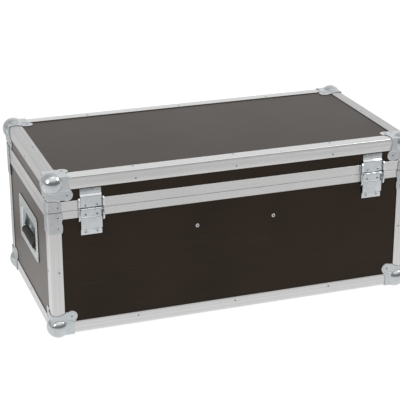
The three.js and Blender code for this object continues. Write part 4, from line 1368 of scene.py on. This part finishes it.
def lean(point):
    """Turns a point of the hook about its axle."""
    x, y, z = point[0], point[1] - TILT_Y, point[2] - TILT_Z
    c, s = math.cos(HOOK_LEAN), math.sin(HOOK_LEAN)
    return (x, TILT_Y + y * c - z * s, TILT_Z + y * s + z * c)


def latch_hook(side, centre):
    """Hook with its barrel and axle, leaning out at rest."""
    line = fillet([(TILT_Y + 1.2, TILT_HEIGHT + 0.4), (TILT_Y + 1.2, 18.5),
                   (TILT_Y - 2.3, 18.5)], [0, 1.7, 0])
    shells = Shells().add(along_x(strip(line, 1.5), centre - 8, centre + 8))
    axle = (centre, TILT_Y, TILT_Z)
    shells.add(lathe(rod_profile(2.0, 8.6), axle, AXIS_X, 20))
    shells.add(lathe(AXLE_PROFILE, axle, AXIS_X, 14))
    shells.points = [lean(p) for p in shells.points]
    piece(f"x_latch_{side}_hook", shells, [ZINC], f"latch_{side}_hook", sharp=35,
          bevel=0.25, merge=TIGHT_MERGE)


def latch(side, centre):
    base_dish(side, centre)
    lid_dish(side, centre)
    latch_disc(side, centre)
    latch_wing(side, centre)
    latch_hook(side, centre)
    on_aluminium, on_panel = HALF_Y + 1.5, HALF_Y - 0.5
    for half, far, near in (("base", -65.2, -10.0), ("lid", 43.2, 10.5)):
        places = [((centre + x, on_panel, SPLIT + far), AXIS_Y) for x in (-44, 0, 44)]
        places += [((centre + x, on_aluminium, SPLIT + near), AXIS_Y) for x in (-45, 45)]
        rivets(f"latch_{side}_{half}_rivets", places, half)


latch("left", -LATCH_X)
latch("right", LATCH_X)


# ---------------------------------------------------------------- floor
def floor_material():
    """Pale floor that looks different to the camera, to reflections and to other light."""
    material = bpy.data.materials.new("pale_floor")
    nodes = Nodes(material)
    output = nodes.node("OutputMaterial")
    cloud = nodes.noise(scale=3.0, detail=2.0)
    pale = nodes.mix(nodes.ramp(cloud, over=(0.3, 0.7)), (0.60, 0.60, 0.60),
                     (0.64, 0.64, 0.64))
    to_light = nodes.node("BsdfDiffuse", {"Color": pale})
    rays = nodes.node("LightPath")
    position = nodes.node("NewGeometry").outputs["Position"]
    x, y, _ = nodes.node("SeparateXYZ", {0: position}).outputs
    # what polished metal sees: on the camera's side (-Y) paler near the case and darker
    # further off; beyond that darker towards +X, with a dip across y = 0.44 to 0.52
    front = nodes.times(nodes.ramp(y, over=(-1.15, -0.45), to=(0.61, 0.745)),
                        nodes.ramp(y, over=(-3.4, -2.0), to=(0.30, 1.0)))
    dip = nodes.math("MAXIMUM", nodes.ramp(y, over=(0.34, 0.44), to=(1.0, 0.68)),
                     nodes.ramp(y, over=(0.52, 0.80), to=(0.68, 0.90)))
    beside = nodes.times(nodes.ramp(x, over=(-0.62, -0.55), to=(0.69, 0.635)),
                         nodes.ramp(y, over=(-0.02, 0.34), to=(1.28, 1.04)))
    beside = nodes.times(beside, dip)
    in_front = nodes.ramp(y, over=(-0.27, -0.21), to=(1.0, 0.0))
    glow = nodes.add(nodes.times(front, in_front),
                     nodes.times(beside, nodes.math("SUBTRACT", 1.0, in_front)))
    to_metal = nodes.node("Emission", {"Strength": glow})
    camera_glow = nodes.node("Emission", {"Strength": 0.86})
    shadow_catch = nodes.node("BsdfDiffuse", {"Color": (0.36, 0.36, 0.36, 1)})
    to_camera = nodes.node("AddShader", {0: camera_glow.outputs[0],
                                         1: shadow_catch.outputs[0]})
    unseen = nodes.node("MixShader", {0: rays.outputs["Is Glossy Ray"],
                                      1: to_light.outputs[0], 2: to_metal.outputs[0]})
    surface = nodes.node("MixShader", {0: rays.outputs["Is Camera Ray"],
                                       1: unseen.outputs[0], 2: to_camera.outputs[0]})
    nodes.feed(output.inputs[0], surface.outputs[0])
    return material


def build_floor():
    mesh = bpy.data.meshes.new("floor")
    bm = bmesh.new()
    bmesh.ops.create_grid(bm, x_segments=8, y_segments=8, size=9.0)
    bm.to_mesh(mesh)
    bm.free()
    floor = link_object("floor", mesh)
    floor.location.z = -0.0004
    mesh.materials.append(floor_material())


# ---------------------------------------------------------------- room, lights, camera
def build_world():
    """A grey room seen by reflections and light, plain white to the camera."""
    world = bpy.data.worlds.new("studio")
    bpy.context.scene.world = world
    nodes = Nodes(world)
    output = nodes.node("OutputWorld")
    background = nodes.node("Background", {"Color": (1, 1, 1, 1)})
    nodes.feed(output.inputs[0], background.outputs[0])
    direction = nodes.node("TexCoord").outputs["Generated"]
    x, y, z = nodes.node("SeparateXYZ", {0: direction}).outputs
    # behind the case: even and pale, dimmer to the left and overhead
    behind_case = nodes.times(nodes.ramp(x, over=(-0.75, 0.15), to=(0.46, 0.84)),
                              nodes.ramp(z, over=(0.45, 0.95), to=(1.0, 0.72)))
    # behind the camera: dark at the horizon, pale higher up
    behind_camera = nodes.ramp(z, over=(0.36, 0.72), to=(0.20, 0.95), smooth=True)
    share = nodes.ramp(y, over=(-0.45, 0.05), smooth=True)
    room = nodes.add(nodes.times(share, behind_case),
                     nodes.times(nodes.math("SUBTRACT", 1.0, share), behind_camera))
    seen = nodes.node("LightPath").outputs["Is Camera Ray"]
    strength = nodes.add(nodes.times(room, nodes.math("SUBTRACT", 1.0, seen)), seen)
    nodes.feed(background.inputs["Strength"], strength)


LIGHT_TARGET = Vector((0, 0, 0.2))


def softbox(name, place, width, height, power):
    """Area light aimed at the case; metres and watts."""
    light = bpy.data.lights.new(name, "AREA")
    light.shape = "RECTANGLE"
    light.size = width
    light.size_y = height
    light.energy = power
    obj = link_object(name, light)
    obj.location = place
    obj.rotation_mode = "QUATERNION"
    obj.rotation_quaternion = (LIGHT_TARGET - Vector(place)).to_track_quat("-Z", "Y")


def build_camera():
    camera = bpy.data.cameras.new("camera")
    obj = link_object("camera", camera)
    right = (0.944561, -0.328331, -0.001931)
    up = (0.120439, 0.340999, 0.932316)
    backward = (-0.30545, -0.880862, 0.361638)
    place = (-1.02356, -2.91770, 1.39719 + BOTTOM * MM)
    matrix = Matrix.Identity(4)
    for column, vector in enumerate((right, up, backward, place)):
        for row in range(3):
            matrix[row][column] = vector[row]
    obj.matrix_world = matrix
    camera.sensor_width = 36.0
    camera.lens = 118.65726
    camera.clip_start = 0.05
    camera.clip_end = 60.0
    bpy.context.scene.camera = obj


build_floor()
build_world()
softbox("softbox_left", place=(-2.65, -1.65, 1.68), width=0.9, height=1.0, power=14)
softbox("softbox_right", place=(1.85, -1.04, 2.10), width=0.8, height=0.8, power=12)
softbox("softbox_top", place=(0.1, -1.0, 3.0), width=1.8, height=0.35, power=2.4)
build_camera()
view = bpy.context.scene.view_settings
view.view_transform = "Standard"
view.look = "None"
view.exposure = 0.0
view.gamma = 1.0

bpy.context.view_layer.update()
